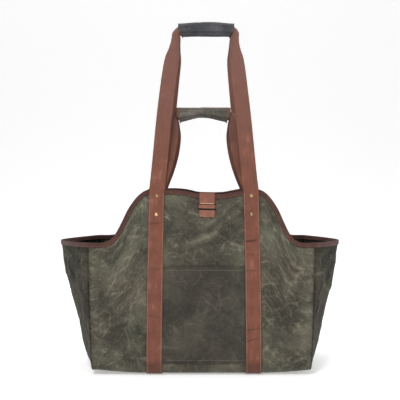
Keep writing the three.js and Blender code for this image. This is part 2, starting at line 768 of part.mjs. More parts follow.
function grip(kind) {
  const mirrored = kind.inside.slice(0, -1).map((row) => ({ ...row, along: -row.along }));
  const rows = [...mirrored, ...[...kind.inside].reverse()];
  const grid = rows.map((row) => {
    const section = curled(row.curl);
    const stand = halfDepth(row.curl);
    const room = WEB / 2 + GRIP_EASE + GRIP_WALL / 2;
    const deep = stand + room;
    const low = row.dip - row.sink;
    let tall = 0;
    for (const q of section.slice(0, 3)) {
      const share = Math.min(0.97, (stand - q.back + WEB / 2) / deep);
      const rest = (1 - share ** GRIP_SQUARE) ** (1 / GRIP_SQUARE);
      tall = Math.max(tall, q.out > 0 ? (q.out + low) / rest : 0);
    }
    tall += room + row.tall;
    return Array.from({ length: GRIP_SIDES }, (_, s) => {
      const angle = (2 * Math.PI * s) / GRIP_SIDES;
      const power = 2 / GRIP_SQUARE;
      const c = Math.sign(Math.cos(angle)) * Math.abs(Math.cos(angle)) ** power;
      const n = Math.sign(Math.sin(angle)) * Math.abs(Math.sin(angle)) ** power;
      const cut = Math.abs(row.along) === 1 ? GRIP_SLANT * Math.max(0, -n) : 0;
      return new THREE.Vector3(
        kind.shift + (kind.half - cut) * row.along,
        deep * c,
        kind.height - row.sink + tall * n,
      );
    });
  });
  return sheet(grid, GRIP_WALL, { loopJ: true });
}
add("long_handle_wrap", grip(LONG), darkCanvas);
add("short_handle_wrap", grip(SHORT), darkCanvas);

// Closure: a webbing tab folded over the front rim, and a short patch below its end.
function tabGrid() {
  const columns = [columnAt("tabLeft"), columnAt("tabRight")];
  const top = BINDING_EASE + BINDING + 2 * GAP + WEB / 2;
  const lines = columns.map((k) => {
    const rim = onBody(FRONT, k, ROW.rim);
    const up = rim.p.clone().sub(onBody(FRONT, k, ROW.binding).p).normalize();
    const at = (drop, sign) => lifted(onColumn(FRONT, k, rim.p.z - drop), sign * overBinding);
    const arc = [15, 45, 90, 135, 165].map((degrees) => {
      const a = THREE.MathUtils.degToRad(degrees);
      const square = (t) => Math.sign(t) * Math.sqrt(Math.abs(t));
      return rim.p
        .clone()
        .addScaledVector(rim.n, overBinding * square(Math.cos(a)))
        .addScaledVector(up, top * square(Math.sin(a)));
    });
    return [
      at(TAB_DROP, 1),
      at(TAB_DROP * 0.55, 1),
      at(BINDING_HEIGHT * 0.5, 1),
      ...arc,
      at(BINDING_HEIGHT * 0.5, -1),
      at(TAB_INSIDE, -1),
    ];
  });
  return lines;
}
add("closure_tab", sheet(tabGrid(), WEB), webbing);

function patchGrid() {
  return [columnAt("tabLeft"), columnAt("tabRight")].map((k) => {
    const rim = onBody(FRONT, k, ROW.rim).p.z;
    const start = TAB_DROP + PATCH_GAP;
    return [0, 0.5, 1].map((t) =>
      lifted(onColumn(FRONT, k, rim - start - PATCH_HEIGHT * t), onCanvas),
    );
  });
}
add("closure_patch", sheet(patchGrid(), WEB), webbing);

// Rivets: two through each strap and handle tail, front and rear.
function rivet(side, hand, drop) {
  const outer = columnAt(hand === LEFT ? "webLeftOuter" : "webRightOuter");
  const inner = columnAt(hand === LEFT ? "webLeftInner" : "webRightInner");
  const z = PANEL_HEIGHT - drop;
  const a = onColumn(side, outer, z);
  const b = onColumn(side, inner, z);
  const place = { p: a.p.clone().lerp(b.p, 0.5), n: a.n.clone().lerp(b.n, 0.5).normalize() };
  const rim = (onBody(side, outer, ROW.rim).p.z + onBody(side, inner, ROW.rim).p.z) / 2;
  const low = (onBody(side, outer, 2).p.z + onBody(side, inner, 2).p.z) / 2;
  const bound = (onBody(side, outer, 1).p.z + onBody(side, inner, 1).p.z) / 2;
  const near = clamp((Math.min(z, rim) - low) / (bound - low));
  const stand = mix(onCanvas, overBinding, near) + WEB + GAP + WEB / 2 + GAP;
  const profile = [
    new THREE.Vector2(0, 0),
    new THREE.Vector2(RIVET_RADIUS, 0),
    new THREE.Vector2(RIVET_RADIUS, RIVET_RISE * 0.4),
    new THREE.Vector2(RIVET_RADIUS * 0.72, RIVET_RISE * 0.85),
    new THREE.Vector2(0, RIVET_RISE),
  ];
  const geometry = new THREE.LatheGeometry(profile, 10);
  const up = new THREE.Vector3(0, 1, 0);
  geometry.applyQuaternion(new THREE.Quaternion().setFromUnitVectors(up, place.n));
  const at = lifted(place, stand);
  geometry.translate(at.x, at.y, at.z);
  return geometry;
}

for (const [face, side] of [["front", FRONT], ["rear", REAR]]) {
  for (const [name, hand] of [["left", LEFT], ["right", RIGHT]]) {
    RIVET_DROPS.forEach((drop, i) => {
      add(`rivet_${face}_${name}_${i + 1}`, rivet(side, hand, drop), brass);
    });
  }
}

export default group;
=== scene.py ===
import math

import bpy
import numpy as np
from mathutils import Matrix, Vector


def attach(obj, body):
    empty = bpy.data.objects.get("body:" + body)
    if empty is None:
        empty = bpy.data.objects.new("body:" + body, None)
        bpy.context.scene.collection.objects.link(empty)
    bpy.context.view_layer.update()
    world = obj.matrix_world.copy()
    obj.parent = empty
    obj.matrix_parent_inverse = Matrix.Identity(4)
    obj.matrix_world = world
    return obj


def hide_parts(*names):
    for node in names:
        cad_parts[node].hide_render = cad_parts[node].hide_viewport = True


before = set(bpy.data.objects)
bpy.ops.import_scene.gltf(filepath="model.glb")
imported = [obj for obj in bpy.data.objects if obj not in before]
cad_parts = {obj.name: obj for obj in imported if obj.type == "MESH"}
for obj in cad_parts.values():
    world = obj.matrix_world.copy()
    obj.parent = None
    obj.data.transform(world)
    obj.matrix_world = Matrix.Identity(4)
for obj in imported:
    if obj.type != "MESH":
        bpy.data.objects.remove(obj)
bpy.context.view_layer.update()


# --- View and light ---
# A pale paper sweep that rises behind the carrier, with broad soft lights in front of it.
# The camera stands a little over two metres off and looks slightly down.
CAMERA_PLACE, CAMERA_PITCH = (0.0004, -2.15, 0.5116), 0.0419
SENSOR_WIDTH, FOCAL_PIXELS, PICTURE_PIXELS = 36, 834.2, 400
SWEEP_REACH, SWEEP_FOOT, SWEEP_BEND, SWEEP_TOP = 30.0, 2.2, 2.5, 9.0
PAPER_TONE, PAPER_GLOW, WORLD_LIGHT = 0.93, 0.37, 0.3

camera = bpy.data.objects.new("camera", bpy.data.cameras.new("camera"))
bpy.context.scene.collection.objects.link(camera)
camera.data.sensor_width = SENSOR_WIDTH
camera.data.lens = SENSOR_WIDTH * FOCAL_PIXELS / PICTURE_PIXELS
camera.location = CAMERA_PLACE
camera.rotation_euler = (math.pi / 2 - CAMERA_PITCH, 0, 0)
bpy.context.scene.camera = camera
bpy.context.scene.view_settings.view_transform = "Standard"

sweep_profile = [(-SWEEP_REACH, 0.0), (SWEEP_FOOT, 0.0)]
for turn in np.linspace(0.1, 1.57, 14):
    ahead, up = SWEEP_BEND * math.sin(turn), SWEEP_BEND - SWEEP_BEND * math.cos(turn)
    sweep_profile.append((SWEEP_FOOT + ahead, up))
sweep_profile.append((SWEEP_FOOT + SWEEP_BEND, SWEEP_TOP))
sweep_mesh = bpy.data.meshes.new("floor")
sweep_mesh.from_pydata(
    [(x, y, z) for y, z in sweep_profile for x in (-SWEEP_REACH, SWEEP_REACH)],
    [],
    [(2 * i, 2 * i + 1, 2 * i + 3, 2 * i + 2) for i in range(len(sweep_profile) - 1)],
)
for polygon in sweep_mesh.polygons:
    polygon.use_smooth = True
sweep = bpy.data.objects.new("floor", sweep_mesh)
bpy.context.scene.collection.objects.link(sweep)


def new_material(name, **settings):
    """A material and its shader, with these settings on the shader's own sockets."""
    material = bpy.data.materials.new(name)
    material.use_nodes = True
    shader = material.node_tree.nodes["Principled BSDF"]
    for key, value in settings.items():
        shader.inputs[key.replace("_", " ")].default_value = value
    return material, shader


paper, _ = new_material(
    "paper_sweep", Base_Color=(PAPER_TONE, PAPER_TONE, PAPER_TONE, 1), Roughness=0.9,
    Emission_Color=(1, 1, 1, 1), Emission_Strength=PAPER_GLOW,
)
sweep_mesh.materials.append(paper)

world = bpy.data.worlds.new("studio")
world.use_nodes = True
world.node_tree.nodes["Background"].inputs["Color"].default_value = (1, 1, 1, 1)
world.node_tree.nodes["Background"].inputs["Strength"].default_value = WORLD_LIGHT
bpy.context.scene.world = world


def soft_light(name, place, aim, size, power):
    lamp = bpy.data.objects.new(name, bpy.data.lights.new(name, "AREA"))
    lamp.data.shape = "RECTANGLE"
    lamp.data.size, lamp.data.size_y = size
    lamp.data.energy = power
    lamp.location = place
    lamp.rotation_euler = (Vector(aim) - Vector(place)).to_track_quat("-Z", "Y").to_euler()
    bpy.context.scene.collection.objects.link(lamp)


soft_light("key", (-0.7, -2.2, 2.8), (0, 0, 0.3), (0.9, 0.9), 60)
soft_light("fill", (2.0, -2.4, 1.1), (0, 0, 0.35), (1.2, 1.2), 17)
soft_light("top", (0.2, 0.6, 3.0), (0, 0, 0.3), (2.4, 1.6), 30)


# --- Body ---
# One piece of waxed cotton canvas: front panel, base and rear panel. The panels lean in
# towards the mouth and rise in an S from the low sides to the straps. The wax has left
# pale crease marks all over. Sizes are in millimetres until a mesh is made.
BASE_LENGTH, MOUTH_LENGTH = 530, 552
BASE_DEPTH, MOUTH_DEPTH = 290, 164
PANEL_HEIGHT, SIDE_HEIGHT = 450, 320
RIM_SAG, BEND_RADIUS, CORNER_LIFT = 12, 28, 9
PANEL_BELLY, FOLD_DEPTH, CANVAS = 7, 6.5, 1.5
REACH_LEFT, REACH_RIGHT, GUSSET_SAG = 84, 76, 2
# The base lies this far right of the origin, which is under the middle of the two tips.
MIDDLE = (REACH_LEFT - REACH_RIGHT) / 2
WEB_WIDTH, WEB, WEB_SHIFT = 38, 2.0, 6
WEB_SPREAD_BASE, WEB_SPREAD_RIM = 242, 233
TAB_SHIFT, TAB_WIDTH = 14, 38
POCKET_TOP = 264
GAP = 0.4
FLOOR_TO_CANVAS = WEB + GAP + CANVAS / 2
BEND_TOP = FLOOR_TO_CANVAS + BEND_RADIUS
FRONT, REAR, LEFT, RIGHT = -1, 1, -1, 1

# height share, lean share
PANEL_LEAN = [(0, 0), (0.25, 0.03), (0.5, 0.18), (0.7, 0.44), (0.85, 0.71), (1, 1)]
# share of the way from strap to seam, share of the climb
RIM_CURVE = [
    (0, 1), (0.085, 0.962), (0.178, 0.88), (0.262, 0.765), (0.35, 0.61), (0.433, 0.41),
    (0.512, 0.23), (0.58, 0.115), (0.67, 0.03), (0.8, 0), (1, 0),
]
# share of the way from the left strap to the right one, share of the sag
RIM_HANG = [
    (0, 0.42), (0.2, 0.15), (0.34, 0.4), (0.45, 0.95), (0.68, 1), (0.82, 0.45), (0.93, 0), (1, 0),
]
# Soft folds: x and z of the middle, turn in degrees, length, width, depth.
# All but the turn are shares of the panel's half width, its height or FOLD_DEPTH.
FRONT_FOLDS = [
    (0.17, 0.86, 34, 0.24, 0.075, 0.7), (0.29, 0.82, 40, 0.22, 0.07, -0.7),
    (-0.2, 0.86, -32, 0.26, 0.08, 0.75), (-0.12, 0.78, -28, 0.26, 0.08, -0.6),
    (0.02, 0.69, 16, 0.36, 0.07, 0.6), (0.05, 0.61, 8, 0.42, 0.07, -0.5),
    (0.72, 0.5, 58, 0.3, 0.09, 0.8), (0.82, 0.38, 66, 0.3, 0.08, -0.7),
    (-0.72, 0.52, -55, 0.3, 0.09, 0.8), (-0.84, 0.36, -68, 0.32, 0.08, -0.7),
    (-0.66, 0.22, 20, 0.28, 0.09, -0.6), (0.7, 0.2, -18, 0.28, 0.09, -0.6),
]
REAR_FOLDS = [
    (0.22, 0.84, 36, 0.26, 0.08, -0.7), (-0.16, 0.82, -30, 0.28, 0.08, 0.7),
    (0.04, 0.6, -10, 0.42, 0.08, -0.6), (0.74, 0.48, 60, 0.3, 0.09, -0.8),
    (-0.74, 0.46, -58, 0.3, 0.09, 0.8), (-0.1, 0.32, 14, 0.4, 0.09, 0.6),
    (0.68, 0.2, -16, 0.28, 0.09, 0.6),
]
# Sharp tucks between the straps and the tab: x and z of the ends and middle, width, depth.
TUCKS = [
    ((106, 438, 33, 375, 2, 358), 8, 3.2), ((86, 411, 13, 353, -38, 336), 8, -3.2),
    ((89, 360, 30, 344, -63, 311), 7, 2.8), ((62, 334, 20, 322, -26, 308), 7, -2.8),
    ((-90, 409, -72, 404, -50, 402), 6, -1.8), ((-52, 402, -20, 392, 12, 384), 6, 1.6),
    ((-88, 384, -60, 366, -44, 340), 7, 1.3), ((-70, 352, -40, 344, -14, 350), 6, -1.2),
]
CREST_WIDTH = 3.2
# Crumpling all over: distance, width and depth of the creases.
CRUMPLES = [(74, 7, 1.5), (40, 5.5, 1.0), (23, 5, 0.55)]
# Bare canvas lies flat this near to the seams, the rim and the tab's foot.
SEAM_FLAT, RIM_FLAT, TAB_FLAT = (6, 22), (12, 26), (60, 74)


def mix(a, b, t):
    return a + (b - a) * t


def smooth(a, b, t):
    s = np.clip((t - a) / (b - a), 0, 1)
    return s * s * (3 - 2 * s)


def hill(t):
    """1 at 0, falling off smoothly on both sides."""
    return np.exp(-(t**2))


def curve(rows, at):
    """A smooth curve through rows of (place, value)."""
    k, v = np.array(rows, float).T
    m = np.empty_like(v)
    m[0] = (v[1] - v[0]) / (k[1] - k[0])
    m[-1] = (v[-1] - v[-2]) / (k[-1] - k[-2])
    m[1:-1] = (v[2:] - v[:-2]) / (k[2:] - k[:-2])
    i = np.clip(np.searchsorted(k, at) - 1, 0, len(k) - 2)
    step = k[i + 1] - k[i]
    t = np.clip((at - k[i]) / step, 0, 1)
    t2, t3 = t * t, t * t * t
    return (
        (2 * t3 - 3 * t2 + 1) * v[i]
        + (t3 - 2 * t2 + t) * step * m[i]
        + (3 * t2 - 2 * t3) * v[i + 1]
        + (t3 - t2) * step * m[i + 1]
    )


def seam_x(z):
    return mix(BASE_LENGTH, MOUTH_LENGTH, np.clip(z / SIDE_HEIGHT, 0, 1)) / 2


def web_x(hand, z):
    spread = mix(WEB_SPREAD_BASE, WEB_SPREAD_RIM, np.clip(z / PANEL_HEIGHT, 0, 1))
    return WEB_SHIFT + hand * spread / 2


def drape(side, x, z):
    half = seam_x(z)
    total = 0
    for fx, fz, turn, length, width, depth in FRONT_FOLDS if side == FRONT else REAR_FOLDS:
        c, s = math.cos(math.radians(turn)), math.sin(math.radians(turn))
        dx, dz = x - fx * half, z - fz * PANEL_HEIGHT
        along = (dx * c + dz * s) / (length * half)
        across = (dz * c - dx * s) / (width * half)
        total = total + depth * np.exp(-along * along - across * across)
    fade = smooth(0, 0.22, z / PANEL_HEIGHT) * smooth(0, 0.12, (half - np.abs(x)) / half)
    for hand in (LEFT, RIGHT):
        fade = fade * smooth(0.5, 1.4, np.abs(x - web_x(hand, z)) / WEB_WIDTH)
    return FOLD_DEPTH * total * fade


def panel_y(side, x, z):
    lean = curve(PANEL_LEAN, z / PANEL_HEIGHT)
    depth = mix(BASE_DEPTH, MOUTH_DEPTH, lean) / 2
    middle = 1 - (x / seam_x(z)) ** 2
    belly = PANEL_BELLY * middle * np.sin(np.pi * np.clip(z / PANEL_HEIGHT, 0, 1))
    return side * (depth + belly + drape(side, x, z))


def block_x(c, z):
    """x at column c: 0 and 7 the seams, 1 to 2 and 5 to 6 the straps, 3 to 4 the tab."""
    edges = np.array(np.broadcast_arrays(
        -seam_x(z), web_x(LEFT, z) - WEB_WIDTH / 2, web_x(LEFT, z) + WEB_WIDTH / 2,
        TAB_SHIFT - TAB_WIDTH / 2 + 0 * z, TAB_SHIFT + TAB_WIDTH / 2 + 0 * z,
        web_x(RIGHT, z) - WEB_WIDTH / 2, web_x(RIGHT, z) + WEB_WIDTH / 2, seam_x(z),
    ))
    c, _ = np.broadcast_arrays(c, edges[0])
    i = np.clip(c.astype(int), 0, 6)
    low = np.take_along_axis(edges, i[None], 0)[0]
    high = np.take_along_axis(edges, i[None] + 1, 0)[0]
    return mix(low, high, c - i)


def rim_z(c):
    c = np.asarray(c, float)
    out = np.where(c <= 1, 1 - c, c - 6)
    side = mix(SIDE_HEIGHT, PANEL_HEIGHT, curve(RIM_CURVE, np.clip(out, 0, 1)))
    x = block_x(c, PANEL_HEIGHT + 0 * c)
    low, high = block_x(np.array([1.0, 6.0]), np.array([PANEL_HEIGHT, PANEL_HEIGHT]))
    across = (x - low) / (high - low)
    top = PANEL_HEIGHT - RIM_SAG * curve(RIM_HANG, np.clip(across, 0, 1))
    return np.where((c < 1) | (c > 6), side, top)


def canvas(side, c, r):
    """Middle surface at column c and row r: 0 rim, 1 bend's top, 2 bend's end, 3 base's middle."""
    c, r = np.broadcast_arrays(np.asarray(c, float), np.asarray(r, float))
    z = mix(rim_z(c), BEND_TOP, np.clip(r, 0, 1))
    x = block_x(c, z)
    y = panel_y(side, x, z)
    low_x = block_x(c, 0 * z)
    edges = block_x(np.array([1.0, 6.0, 7.0]), np.zeros(3))
    past = np.maximum(0, np.maximum(edges[0] - low_x, low_x - edges[1])) / (edges[2] - edges[1])
    lift = CORNER_LIFT * np.clip(past, 0, 1) ** 2
    flat_y = panel_y(side, block_x(c, BEND_TOP + 0 * z), BEND_TOP + 0 * z) - side * BEND_RADIUS
    t = np.clip(r - 1, 0, 1)
    turn = t * math.pi / 2
    x = np.where(r > 1, mix(x, low_x, t), x)
    y = np.where(r > 1, flat_y + side * BEND_RADIUS * np.cos(turn), y)
    z = np.where(r > 1, BEND_TOP - BEND_RADIUS * np.sin(turn) + lift * t, z)
    y = np.where(r > 2, mix(flat_y, 0, np.clip(r - 2, 0, 1)), y)
    return np.stack([x, y, z], -1)


def unit(v):
    return v / np.maximum(np.linalg.norm(v, axis=-1, keepdims=True), 1e-9)


def canvas_out(side, c, r):
    """Outward normal of the canvas."""
    h = 0.004
    across = canvas(side, np.minimum(c + h, 7), r) - canvas(side, np.maximum(c - h, 0), r)
    down = canvas(side, c, np.minimum(r + h, 3)) - canvas(side, c, np.maximum(r - h, 0))
    return unit(np.cross(down, across) * -side)


def row_of(c, z):
    """Row of a height above the bend."""
    return (rim_z(c) - z) / (rim_z(c) - BEND_TOP)


rng = np.random.default_rng(11)
LATTICE = unit(rng.normal(size=(64, 64, 2)))


def noise(u, v, size, seed=0):
    """Smooth noise of about -1 to 1 with cells of that size."""
    u, v = np.broadcast_arrays(u / size + 7.3 * seed, v / size + 3.1 * seed)
    iu, iv = np.floor(u).astype(int), np.floor(v).astype(int)
    fu, fv = u - iu, v - iv
    su, sv = fu * fu * fu * (fu * (6 * fu - 15) + 10), fv * fv * fv * (fv * (6 * fv - 15) + 10)

    def corner(a, b):
        g = LATTICE[(iu + a) % 64, (iv + b) % 64]
        return g[..., 0] * (fu - a) + g[..., 1] * (fv - b)

    top = mix(corner(0, 0), corner(1, 0), su)
    low = mix(corner(0, 1), corner(1, 1), su)
    return 1.6 * mix(top, low, sv)


SEEDS = rng.random((64, 64, 2))


def creases(u, v, size, width, seed=0):
    """1 on the straight creases between random cells of that size, falling off over the width."""
    u, v = u / size + 5.1 * seed, v / size + 9.7 * seed
    iu, iv = np.floor(u).astype(int), np.floor(v).astype(int)
    near = np.full(u.shape, 9.0)
    second = near.copy()
    for a in (-1, 0, 1):
        for b in (-1, 0, 1):
            seeds = SEEDS[(iu + a) % 64, (iv + b) % 64]
            d = np.hypot(iu + a + seeds[..., 0] - u, iv + b + seeds[..., 1] - v)
            second = np.minimum(second, np.maximum(near, d))
            near = np.minimum(near, d)
    return hill((second - near) * size / width)


def crumple(u, v, seed=0):
    """Handled canvas: height in millimetres, pale wear on ridges and painted shade in creases."""
    u, v = np.broadcast_arrays(u, v)
    u, v = u + 6 * noise(u, v, 55, seed + 5), v + 6 * noise(u, v, 55, seed + 6)
    swell = 1.4 * noise(u, v, 95, seed + 9) + 0.8 * noise(u, v, 44, seed + 8)
    sharp = 0
    for k, (size, width, depth) in enumerate(CRUMPLES):
        sign = np.tanh(5 * noise(u, v, size * 1.6, seed + k + 11))
        kept = smooth(-0.15, 0.35, noise(u, v, size * 1.2, seed + k + 21))
        sharp = sharp + depth * sign * kept * creases(u, v, size, width, seed + k)
    return swell + sharp, 0.55 * sharp + 0.1 * swell


def run_length(points):
    """Length along a row of points, from 0 at its start."""
    return np.concatenate([[0], np.cumsum(np.linalg.norm(np.diff(points, axis=0), axis=1))])


def spaced(*runs):
    """Evenly spaced places in runs of (first, last, count) that join end to end."""
    places = [np.linspace(*run) for run in runs]
    return np.concatenate([part[:-1] for part in places[:-1]] + places[-1:])


def grid_out(grid, loop_i=False, loop_j=False):
    def across(axis, loop):
        if loop:
            return np.roll(grid, -1, axis) - np.roll(grid, 1, axis)
        return np.gradient(grid, axis=axis)

    return unit(np.cross(across(0, loop_i), across(1, loop_j)))


def make_object(name, vertices, faces, material, uv=None, marks=None):
    """A smooth mesh from points in millimetres, with marks for its material to read."""
    vertices = np.asarray(vertices, float).reshape(-1, 3) + (MIDDLE, 0, 0)
    mesh = bpy.data.meshes.new(name)
    mesh.from_pydata((vertices / 1000).tolist(), [], [list(map(int, f)) for f in faces])
    mesh.update()
    if uv is not None:
        layer = mesh.uv_layers.new(name="cloth")
        index = np.empty(len(mesh.loops), int)
        mesh.loops.foreach_get("vertex_index", index)
        layer.data.foreach_set("uv", np.asarray(uv, float)[index].ravel())
    for key, values in (marks or {}).items():
        mark = mesh.attributes.new(key, "FLOAT", "POINT")
        mark.data.foreach_set("value", np.asarray(values, float).ravel())
    mesh.polygons.foreach_set("use_smooth", np.ones(len(mesh.polygons), bool))
    mesh.materials.append(material)
    obj = bpy.data.objects.new(name, mesh)
    bpy.context.scene.collection.objects.link(obj)
    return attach(obj, "root")


def cloth(name, grid, wall, material, u, v, loop_i=False, loop_j=False, **marks):
    """A closed sheet about a grid of middle points; u and v are its flat place in millimetres."""
    n, m = grid.shape[:2]
    step = grid_out(grid, loop_i, loop_j) * wall / 2
    points = np.concatenate([(grid + step).reshape(-1, 3), (grid - step).reshape(-1, 3)])
    at = np.arange(2 * n * m).reshape(2, n, m)
    if loop_i:
        at = np.concatenate([at, at[:, :1]], 1)
    if loop_j:
        at = np.concatenate([at, at[:, :, :1]], 2)
    f, g = at
    corners = [(f[:-1, :-1], f[1:, :-1], f[1:, 1:], f[:-1, 1:])]
    corners.append((g[:-1, :-1], g[:-1, 1:], g[1:, 1:], g[1:, :-1]))
    if not loop_j:
        corners.append((f[:-1, 0], g[:-1, 0], g[1:, 0], f[1:, 0]))
        corners.append((f[1:, -1], g[1:, -1], g[:-1, -1], f[:-1, -1]))
    if not loop_i:
        corners.append((f[0, 1:], g[0, 1:], g[0, :-1], f[0, :-1]))
        corners.append((f[-1, :-1], g[-1, :-1], g[-1, 1:], f[-1, 1:]))
    faces = np.concatenate([np.stack(four, -1).reshape(-1, 4) for four in corners])
    a, b, c = (points[faces[:, k]] for k in (0, 1, 2))
    if np.einsum("ij,ij->i", a, np.cross(b, c)).sum() < 0:
        faces = faces[:, ::-1]
    uv = np.stack(np.broadcast_arrays(u, v), -1).reshape(-1, 2) / 1000
    marks = {key: np.tile(np.broadcast_to(mark, (n, m)).ravel(), 2) for key, mark in marks.items()}
    return make_object(name, points, faces, material, np.concatenate([uv, uv]), marks)


def add_node(material, kind, *links, **settings):
    """A shader node. A link is (own input, other node, its output) or (own input, value)."""
    node = material.node_tree.nodes.new("ShaderNode" + kind)
    for key, value in settings.items():
        if hasattr(node, key):
            setattr(node, key, value)
        else:
            node.inputs[key.replace("_", " ")].default_value = value
    for own, source, *output in links:
        if output:
            material.node_tree.links.new(node.inputs[own], source.outputs[output[0]])
        else:
            node.inputs[own].default_value = source
    return node


def connect(material, shader, name, node):
    material.node_tree.links.new(shader.inputs[name], node.outputs[0])


def ramp(material, source, output, stops):
    node = add_node(material, "ValToRGB", ("Fac", source, output))
    for i, (place, color) in enumerate(stops):
        stop = node.color_ramp.elements[i] if i < 2 else node.color_ramp.elements.new(place)
        stop.position = place
        stop.color = (*color, 1)
    return node


def remap(material, source, output, low, high, to_low=0.0, to_high=1.0):
    return add_node(
        material, "MapRange", ("Value", source, output), From_Min=low, From_Max=high,
        To_Min=to_low, To_Max=to_high,
    )


def math_node(material, operation, first, second, clamp=False):
    return add_node(
        material, "Math", (0, *first), (1, *second), operation=operation, use_clamp=clamp
    )


def clouds(material, source, output, cells, detail, roughness=0.5):
    """Noise with that many cells per unit of its source."""
    return add_node(
        material, "TexNoise", ("Vector", source, output), Scale=cells, Detail=detail,
        Roughness=roughness,
    )


def tint_over(material, share, under, color):
    """A colour laid over another one by a share."""
    return add_node(
        material, "Mix", (0, *share), (6, *under), (7, (*color, 1)), data_type="RGBA"
    )


def tone_by(material, color, tone):
    return add_node(material, "VectorMath", (0, *color), (1, *tone), operation="MULTIPLY")


# turn in degrees, cells per metre along and across, threshold, strength
SCRATCHES = [
    (38, 24, 110, 0.6, 0.24), (-48, 22, 95, 0.61, 0.24),
    (8, 26, 120, 0.62, 0.22), (82, 24, 105, 0.62, 0.22),
]
# cells per metre, line width share, strength
CREASES = [(10, 0.035, 0.45), (22, 0.05, 0.7), (48, 0.08, 0.6), (95, 0.11, 0.35)]
WORN_BROWN = (0.15, 0.085, 0.052)


def waxed_canvas(name, dark, body, mark, scale=1.0, seed=0.0, wear=1.0, calm=1.0, gloss=0.18):
    """Waxed canvas: cloudy ground, pale lines where it was crumpled, streaks, specks, weave."""
    m, shader = new_material(name, Sheen_Weight=gloss / 6, Specular_IOR_Level=gloss)
    place = add_node(m, "TexCoord")
    shift = add_node(m, "VectorMath", (0, place, "UV"), (1, (seed, seed * 0.7, 0)), operation="ADD")
    warp = clouds(m, shift, 0, 14 * scale, 3)
    sway = (0.015 / scale, 0.015 / scale, 0)
    bent = add_node(
        m, "VectorMath", (0, warp, "Color"), (1, sway), (2, shift, 0), operation="MULTIPLY_ADD"
    )
    cloud = clouds(m, bent, 0, 13 * scale, 6, 0.62)
    ground = ramp(m, cloud, "Fac", [(0.34, dark), (0.66, body)])
    pale = [remap(m, cloud, "Fac", 0.44, 0.72, 0.0, 0.42 * wear)]
    for cells, width, strength in CREASES:
        cell = add_node(
            m, "TexVoronoi", ("Vector", bent, 0), feature="DISTANCE_TO_EDGE",
            Scale=cells * scale, Randomness=1.0,
        )
        line = remap(m, cell, "Distance", width, 0.0)
        patch = clouds(m, shift, 0, cells * 1.1 * scale, 3)
        kept = remap(m, patch, "Fac", 0.46, 0.68, 0.0, strength * wear)
        pale.append(math_node(m, "MULTIPLY", (line, 0), (kept, 0)))
    for turn, along, across, threshold, strength in SCRATCHES:
        turned = add_node(m, "Mapping", ("Vector", bent, 0), Rotation=(0, 0, math.radians(turn)))
        stretch = (along * scale, across * scale, 1)
        drawn = add_node(m, "VectorMath", (0, turned, 0), (1, stretch), operation="MULTIPLY")
        streak = clouds(m, drawn, 0, 1, 2)
        pale.append(remap(m, streak, "Fac", threshold, threshold + 0.16, 0.0, strength * wear))
    speck = clouds(m, shift, 0, 210 * scale, 3, 0.7)
    pale.append(remap(m, speck, "Fac", 0.5, 0.8, 0.0, 0.3 * wear))
    total = pale[0]
    for part in pale[1:]:
        total = math_node(m, "ADD", (total, 0), (part, 0))
    # The middle of a panel is handled less than its sides.
    away = add_node(m, "SeparateXYZ", ("Vector", place, "Object"))
    side = add_node(m, "Math", (0, away, "X"), operation="ABSOLUTE")
    total = math_node(m, "MULTIPLY", (total, 0), (remap(m, side, 0, 0.09, 0.17, calm, 1.0), 0))
    # Ridges are rubbed pale, hollows are painted darker as shade and worn edges go brown.
    rub = add_node(m, "Attribute", attribute_name="rub")
    raised = remap(m, rub, "Fac", 0.15, 1.2, 0.0, 0.75)
    total = math_node(m, "ADD", (total, 0), (raised, 0), clamp=True)
    tint = tint_over(m, (total, 0), (ground, 0), mark)
    tint = tone_by(m, (tint, 2), (remap(m, rub, "Fac", -1.0, 0.5, 0.62, 1.06), 0))
    edge = add_node(m, "Attribute", attribute_name="edge")
    tint = tint_over(m, (edge, "Fac"), (tint, 0), WORN_BROWN)
    hue = clouds(m, shift, 0, 7 * scale, 3)
    green = ramp(m, hue, "Fac", [(0.42, (1.04, 1.0, 0.98)), (0.64, (0.95, 1.0, 0.96))])
    connect(m, shader, "Base Color", tone_by(m, (tint, 2), (green, 0)))
    connect(m, shader, "Roughness", remap(m, total, 0, 0, 1, 0.58, 0.8))
    yarns = []
    for way in ("X", "Y"):
        yarns.append(add_node(
            m, "TexWave", ("Vector", place, "UV"), Scale=260.0, Distortion=0.4,
            bands_direction=way,
        ))
    weave = math_node(m, "MULTIPLY", (yarns[0], "Fac"), (yarns[1], "Fac"))
    fine = add_node(m, "Bump", ("Height", weave, 0), Strength=0.35, Distance=0.0004)
    soft = add_node(
        m, "Bump", ("Height", total, 0), ("Normal", fine, 0), Strength=0.4, Distance=0.001
    )
    connect(m, shader, "Normal", soft)
    return m


olive = waxed_canvas(
    "waxed_olive_canvas", dark=(0.040, 0.0365, 0.0275), body=(0.082, 0.0755, 0.055),
    mark=(0.21, 0.196, 0.144), calm=0.72,
)
CELLS = (36, 8, 26, 8, 26, 8, 36)
columns = np.concatenate([i + np.arange(n) / n for i, n in enumerate(CELLS)] + [[7.0]])
half_rows = spaced((0, 1, 92), (1, 2, 12), (2, 3, 26))


def cover(c, z):
    """1 where the canvas is free, 0 at the seams, the rim, the straps, the tab and the patch."""
    x = block_x(c, z)
    free = smooth(*SEAM_FLAT, seam_x(z) - np.abs(x)) * smooth(*RIM_FLAT, rim_z(c) - z)
    for hand in (LEFT, RIGHT):
        free = free * smooth(0.5, 1.0, np.abs(x - web_x(hand, z)) / WEB_WIDTH)
    beside_tab = smooth(0.55, 0.85, np.abs(x - TAB_SHIFT) / TAB_WIDTH)
    return free * np.maximum(beside_tab, smooth(*TAB_FLAT, rim_z(c) - z))


